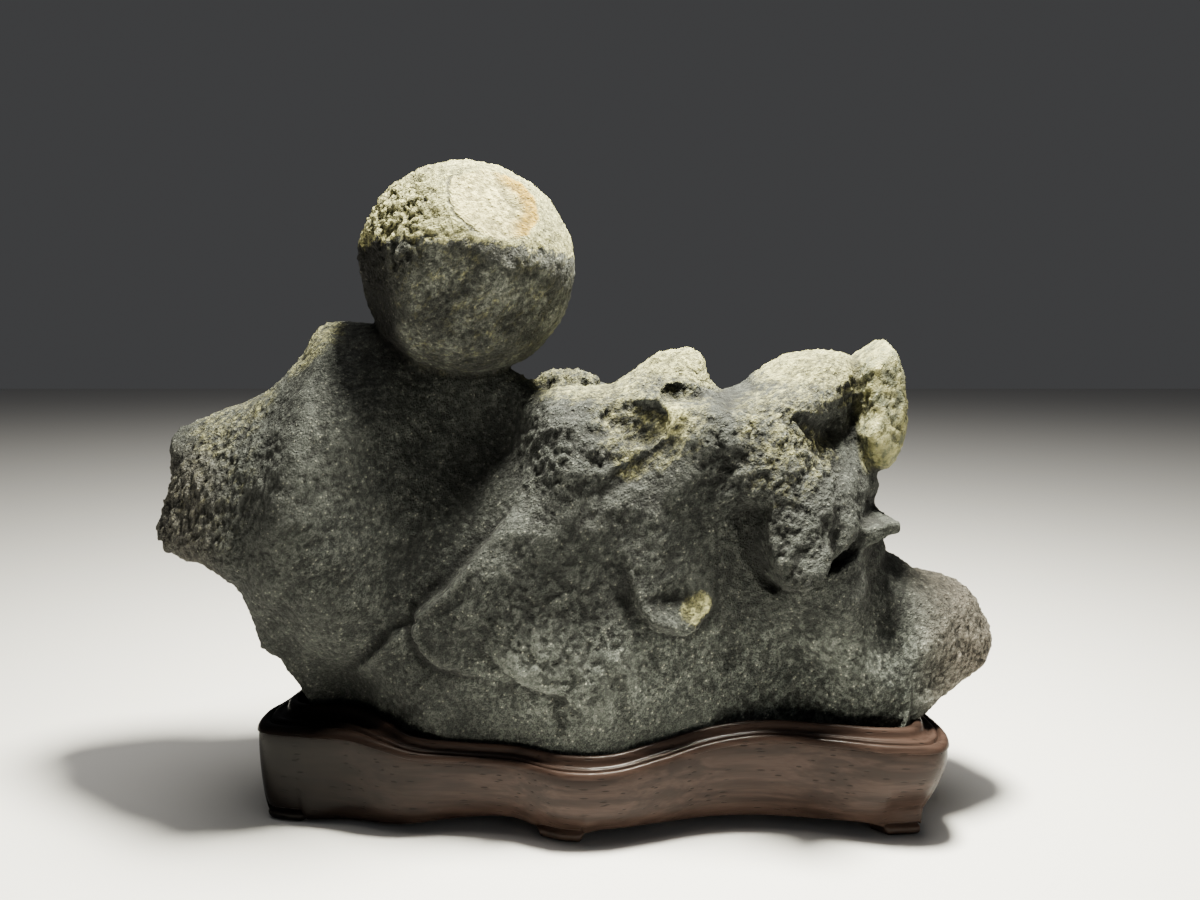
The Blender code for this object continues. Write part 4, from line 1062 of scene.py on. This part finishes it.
def stone_finish(settings):
    """Grey-green sandstone: dark matrix, sandy grains, pits, mica, and a slanting fabric, with
    painted shade in sunk places, pits, the crack and on the ball's left and lower sides, and
    painted light on raised places and low down.
    """
    made = Finish("weathered_sandstone")
    dark, mid, pale = (tuple(c) for c in (settings.dark, settings.mid, settings.pale))
    sand, fabric, clumps, patches, broad = (
        made.clouds(made.spread(cell, GRAIN_TURN), detail, rough)
        for cell, detail, rough in STONE_CLOUDS
    )
    grain_gap, grain_kind = made.crumbs(made.spread(GRAIN_CELL, GRAIN_TURN))
    pore_gap, pore_kind = made.crumbs(made.spread(PORE_CELL, GRAIN_TURN))
    rough, ball, disc = (made.told(name) for name in ("rough", "ball", "disc"))
    uneven = made.weighed(-0.75, (fabric, 0.6), (clumps, 0.9))
    dome = made.step(made.sum("ADD", made.told("dome"), uneven), 0.40, 0.58)
    tan_part, hollow, recess = made.told("tan"), made.told("hollow"), made.told("recess")
    pale_part = made.told("pale")
    along_x, along_z = made.along("X"), made.along("Z")

    speckle = made.weighed(0.0, (fabric, 0.22), (sand, 0.62), (grain_kind, 0.16))
    ground = made.mix(made.step(speckle, 0.42, 0.60), dark, mid)
    ground = made.mix(made.step(broad, 0.42, 0.68, 0.0, 0.35), ground, mid)
    crust = made.mix(made.step(fabric, 0.34, 0.62), CRUST_DARK, pale)
    mottle = made.weighed(-1.1, (fabric, 0.9), (clumps, 1.3))
    crust_share = made.step(made.weighed(pale_part, (mottle, 0.9)), 0.05, 0.75)
    crust_share = made.times(crust_share, made.step(pale_part, 0, 0.25))
    colour = made.mix(crust_share, ground, crust)
    under = made.mix(made.step(speckle, 0.40, 0.62), BALL_DARK, BALL_GREY)
    under = made.mix(made.step(clumps, 0.45, 0.7, 0.0, 0.5), under, BALL_DARK)
    under = made.mix(made.step(mottle, 0.0, 0.5, 0.0, 0.5), under, crust)
    # The ball's left side darkened almost to black: painted shade on the side turned away from the
    # light.
    under = tint(made, under, made.step(along_x, *BALL_SHADED_LEFT_X, 0.08, 1.0))
    # The ball's under part darker towards its foot and lighter higher up: painted shade below,
    # painted light above.
    under = tint(made, under, made.step(along_z, *BALL_SHADED_LOW_Z, 0.62, 1.2))
    under = tint(made, under, made.step(patches, 0.36, 0.64, 0.55, 1.4))
    colour = made.mix(ball, colour, under)
    colour = made.mix(dome, colour, crust)
    smooth_face = made.mix(made.step(clumps, 0.35, 0.65), DISC_GREEN, pale)
    colour = made.mix(disc, colour, smooth_face)
    tan = made.mix(made.step(fabric, 0.34, 0.62), TAN_DARK, TAN_LIGHT)
    colour = made.mix(made.times(tan_part, 0.6), colour, tan)

    away, right, near = scar_marks(made)
    scar = made.times(made.step(away, 1.0, 0.92), near, dome)
    colour = made.mix(made.times(scar, 0.45), colour, SCAR_CREAM)
    stain = made.times(made.step(away, 0.45, 0.75), made.step(right, 0.05, 0.50), scar)
    stain = made.times(stain, made.step(fabric, 0.15, 0.45))
    colour = made.mix(stain, colour, RUST)
    rim = made.times(made.step(away, 0.94, 1.0), made.step(away, 1.07, 1.01))
    crack = made.times(rim, near, made.step(right, -0.35, -0.7), dome)
    # The crack darkened: painted shade in the crack.
    colour = made.mix(made.times(crack, 0.8), colour, PIT_SHADE_DARK)

    is_grain = made.times(made.step(grain_gap, 0.34, 0.16), made.step(grain_kind, 0.80, 0.86))
    colour = made.mix(made.times(is_grain, 0.30), colour, GRAIN_PALE)
    is_pore = made.times(made.step(pore_gap, 0.40, 0.12), made.step(pore_kind, 0.45, 0.62))
    is_pore = made.times(is_pore, made.step(rough, 0.15, 0.8, 0.05, 1.0))
    # Pores darkened: painted shade in the pits.
    colour = made.mix(made.times(is_pore, 0.5), colour, PIT_SHADE_DARK)
    # Low down, from the middle rightwards, the colour is lightened: painted light bounced up from
    # the floor.
    painted_bounce_light = made.times(made.step(along_z, *BOUNCE_LIT_Z), made.step(along_x, *BOUNCE_LIT_X))
    # The colour is darkened where the surface is sunk, finely and broadly, as painted shade;
    # lightened on raised places and low down as painted light; varied by broad patches; and darker
    # at the right end.
    shade = made.times(
        made.step(hollow, 0.30, 0.72, 1.3, 0.5),
        made.step(patches, 0.36, 0.64, 0.80, 1.15),
        made.step(recess, 0.4, 0.9, 1.0, 0.75),
        made.step(painted_bounce_light, 0, 1, 1.0, 2.5),
        made.step(along_x, *RIGHT_END_X, 1.0, 0.70),
    )
    made.feed(made.shader.inputs["Base Color"], tint(made, colour, shade))

    is_mica = made.times(made.step(grain_gap, 0.3, 0.15), made.step(grain_kind, 0.975, 0.98))
    made.feed(made.shader.inputs["Roughness"], made.step(is_mica, 0, 1, 0.88, 0.25))
    made.shader.inputs["Specular IOR Level"].default_value = 0.3

    coarse = made.sum("ADD", rough, 0.7)
    grains = made.times(made.step(grain_gap, 0.55, 0.05), coarse)
    height = made.weighed(
        0.0, (made.times(fabric, coarse), 1.2), (made.times(clumps, coarse), 0.35),
        (sand, 0.45), (is_pore, -0.8), (grains, 0.35), (crack, -0.8),
    )
    made.bump(height, settings.bump_height)
    return made.material


def wood_finish(settings):
    """Dark rosewood: long figure along the block, short open pores, a satin wax polish, and the
    left end darkened as painted shade.
    """
    made = Finish("polished_rosewood")
    dark, light = tuple(settings.dark), tuple(settings.light)
    figure = made.clouds(made.spread(FIGURE_CELL), 3.0, 0.55, 0.35)
    fibre = made.clouds(made.spread(FIBRE_CELL), 2.0, 0.5)
    pore_gap, pore_kind = made.crumbs(made.spread(WOOD_PORE_CELL))
    colour = made.mix(made.step(figure, 0.35, 0.68), dark, light)
    colour = made.mix(made.step(fibre, 0.35, 0.75, 0.0, 0.35), colour, FIBRE_BROWN)
    is_pore = made.times(made.step(pore_gap, 0.34, 0.18), made.step(pore_kind, 0.66, 0.72))
    colour = made.mix(made.times(is_pore, 0.8), colour, WOOD_PORE)
    # The left end darkened and the middle and right lightened: painted shade and painted light on
    # the stand.
    colour = tint(made, colour, made.step(made.along("X"), *STAND_SHADED_LEFT_X, 0.12, 1.25))
    made.feed(made.shader.inputs["Base Color"], colour)
    rough = made.step(fibre, 0.3, 0.7, 0.36, 0.46)
    made.feed(made.shader.inputs["Roughness"], made.weighed(rough, (is_pore, 0.3)))
    made.shader.inputs["Specular IOR Level"].default_value = 0.06
    made.shader.inputs["Coat Weight"].default_value = 0.09
    made.shader.inputs["Coat Roughness"].default_value = 0.10
    made.bump(made.weighed(0.0, (fibre, 0.35), (is_pore, -1.0)), WOOD_BUMP)
    return made.material


def floor_finish(settings):
    made = Finish("pale_floor")
    made.feed(made.shader.inputs["Base Color"], (*settings.floor_colour, 1))
    made.feed(made.shader.inputs["Roughness"], 0.85)
    return made.material


# ---------------------------------------------------------------- the stage

# The camera: focal length and sensor in millimetres, place in metres, and its tilt.
VIEW_LENS, VIEW_SENSOR = 29.1, 36
VIEW_PLACE = (0.0106, -0.4006, 0.183)
VIEW_TILT = math.radians(84)
FLOOR_HALF = 4         # metres from the floor's middle to its edge
ROOM_COLOUR = (0.84, 0.85, 0.88, 1)
# Round soft lights: (name, place, what it is aimed at, width, colour), in metres.
LIGHTS = (
    ("key", (0.069, -0.028, 0.56), (0.0, 0.0, 0.1), 0.13, (1, 0.97, 0.82)),
    ("fill", (0.75, -0.85, 0.45), (0, 0, 0.1), 0.8, (0.95, 1, 1)),
    ("ceiling", (0.0, 0.2, 1.9), (0, 0, 0), 1.6, (1, 0.97, 0.90)),
)


def soft_light(name, place, aim, width, colour, power):
    lamp = bpy.data.lights.new(name, "AREA")
    lamp.shape = "DISK"
    lamp.size = width
    lamp.energy = power
    lamp.color = colour
    made = link(name, lamp)
    made.location = place
    made.rotation_euler = (Vector(aim) - Vector(place)).to_track_quat("-Z", "Y").to_euler()


def set_camera(scene):
    lens = bpy.data.cameras.new("view")
    lens.sensor_width = VIEW_SENSOR
    lens.lens = VIEW_LENS
    camera = link("view", lens)
    camera.location = VIEW_PLACE
    camera.rotation_euler = (VIEW_TILT, 0, 0)
    scene.camera = camera


# ---------------------------------------------------------------- settings

class StoneSettings(bpy.types.PropertyGroup):
    """Sizes and colours of the stone."""

    cell: bpy.props.FloatProperty(
        name="Cell", description="Size of the mesh cells that the stone is carved from",
        default=0.00125, min=0.0008, max=0.004, precision=5, unit="LENGTH")
    kept_share: bpy.props.FloatProperty(
        name="Kept Share", description="Share of the triangles kept when the back is thinned",
        default=0.76, min=0.2, max=1.0)
    grain_height: bpy.props.FloatProperty(
        name="Grain Height", description="Height of the fine slanting grain",
        default=0.0009, min=0.0, max=0.002, precision=5, unit="LENGTH")
    bump_height: bpy.props.FloatProperty(
        name="Sand Height", description="Height of the sandy surface in the finish",
        default=0.0010, min=0.0, max=0.003, precision=5, unit="LENGTH")
    dark: bpy.props.FloatVectorProperty(
        name="Matrix", description="Colour of the dark matrix between the grains",
        default=(0.0100, 0.0115, 0.0103), subtype="COLOR", min=0, max=1)
    mid: bpy.props.FloatVectorProperty(
        name="Sand", description="Colour of the grey-green sand",
        default=(0.040, 0.0435, 0.038), subtype="COLOR", min=0, max=1)
    pale: bpy.props.FloatVectorProperty(
        name="Pale Stone", description="Colour of the pale ball and disc",
        default=(0.26, 0.25, 0.112), subtype="COLOR", min=0, max=1)


class StandSettings(bpy.types.PropertyGroup):
    """Colours of the stand."""

    dark: bpy.props.FloatVectorProperty(
        name="Dark Figure", description="Colour of the wood's dark figure",
        default=(0.014, 0.0088, 0.0070), subtype="COLOR", min=0, max=1)
    light: bpy.props.FloatVectorProperty(
        name="Light Figure", description="Colour of the wood's light figure",
        default=(0.030, 0.0188, 0.0150), subtype="COLOR", min=0, max=1)


class StageSettings(bpy.types.PropertyGroup):
    """Floor and studio lights."""

    floor_colour: bpy.props.FloatVectorProperty(
        name="Floor", description="Colour of the pale floor",
        default=(0.66, 0.65, 0.635), subtype="COLOR", min=0, max=1)
    key_power: bpy.props.FloatProperty(
        name="Key Power", description="Power of the soft light overhead",
        default=27.2, min=0, unit="POWER")
    fill_power: bpy.props.FloatProperty(
        name="Fill Power", description="Power of the wide soft light in front",
        default=0.45, min=0, unit="POWER")
    ceiling_power: bpy.props.FloatProperty(
        name="Ceiling Power", description="Power of the wide soft light high above",
        default=22.0, min=0, unit="POWER")
    room: bpy.props.FloatProperty(
        name="Room", description="Strength of the even light from all round",
        default=0.065, min=0, max=4)


# ---------------------------------------------------------------- operators

class SCHOLAR_OT_stone(bpy.types.Operator):
    """Carve the stone, with its ball, disc, tongues and sandy surface"""

    bl_idname = "scholar.stone"
    bl_label = "Carve Stone"

    def execute(self, context):
        settings = context.scene.scholar_stone
        stone = make_stone(settings)
        stone.data.materials.clear()
        stone.data.materials.append(stone_finish(settings))
        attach(stone, "root")
        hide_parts("rock")
        return {"FINISHED"}


class SCHOLAR_OT_stand(bpy.types.Operator):
    """Turn the moulded stand with its feet round the stone's foot"""

    bl_idname = "scholar.stand"
    bl_label = "Carve Stand"

    def execute(self, context):
        settings = context.scene.scholar_stand
        stand = make_stand()
        stand.data.materials.clear()
        stand.data.materials.append(wood_finish(settings))
        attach(stand, "root")
        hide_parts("stand")
        return {"FINISHED"}


class SCHOLAR_OT_stage(bpy.types.Operator):
    """Set the camera, the pale floor and the soft studio light"""

    bl_idname = "scholar.stage"
    bl_label = "Set Stage"

    def execute(self, context):
        settings = context.scene.scholar_stage
        scene = context.scene
        set_camera(scene)

        shape = bmesh.new()
        bmesh.ops.create_grid(shape, x_segments=1, y_segments=1, size=FLOOR_HALF)
        floor = shape_to_object("floor", shape)
        floor.data.materials.append(floor_finish(settings))

        powers = (settings.key_power, settings.fill_power, settings.ceiling_power)
        for light, power in zip(LIGHTS, powers):
            soft_light(*light, power)

        room = bpy.data.worlds.new("room")
        room.use_nodes = True
        air = room.node_tree.nodes["Background"]
        air.inputs["Color"].default_value = ROOM_COLOUR
        air.inputs["Strength"].default_value = settings.room
        scene.world = room
        return {"FINISHED"}


class SCHOLAR_PT_panel(bpy.types.Panel):
    """Lists the pieces of the scholar's rock"""

    bl_idname = "SCHOLAR_PT_panel"
    bl_label = "Scholar's Rock"
    bl_space_type = "VIEW_3D"
    bl_region_type = "UI"
    bl_category = "Scholar's Rock"

    def draw(self, context):
        scene = context.scene
        groups = (
            (SCHOLAR_OT_stone, scene.scholar_stone),
            (SCHOLAR_OT_stand, scene.scholar_stand),
            (SCHOLAR_OT_stage, scene.scholar_stage),
        )
        for operator, settings in groups:
            box = self.layout.box()
            for name in settings.__annotations__:
                box.prop(settings, name)
            box.operator(operator.bl_idname)


CLASSES = (
    StoneSettings, StandSettings, StageSettings,
    SCHOLAR_OT_stone, SCHOLAR_OT_stand, SCHOLAR_OT_stage, SCHOLAR_PT_panel,
)


def register():
    for kind in CLASSES:
        bpy.utils.register_class(kind)
    bpy.types.Scene.scholar_stone = bpy.props.PointerProperty(type=StoneSettings)
    bpy.types.Scene.scholar_stand = bpy.props.PointerProperty(type=StandSettings)
    bpy.types.Scene.scholar_stage = bpy.props.PointerProperty(type=StageSettings)


def unregister():
    del bpy.types.Scene.scholar_stage, bpy.types.Scene.scholar_stand, bpy.types.Scene.scholar_stone
    for kind in reversed(CLASSES):
        bpy.utils.unregister_class(kind)


def main():
    register()
    bpy.ops.scholar.stage()
    bpy.ops.scholar.stone()
    bpy.ops.scholar.stand()


if __name__ == "__main__":
    main()
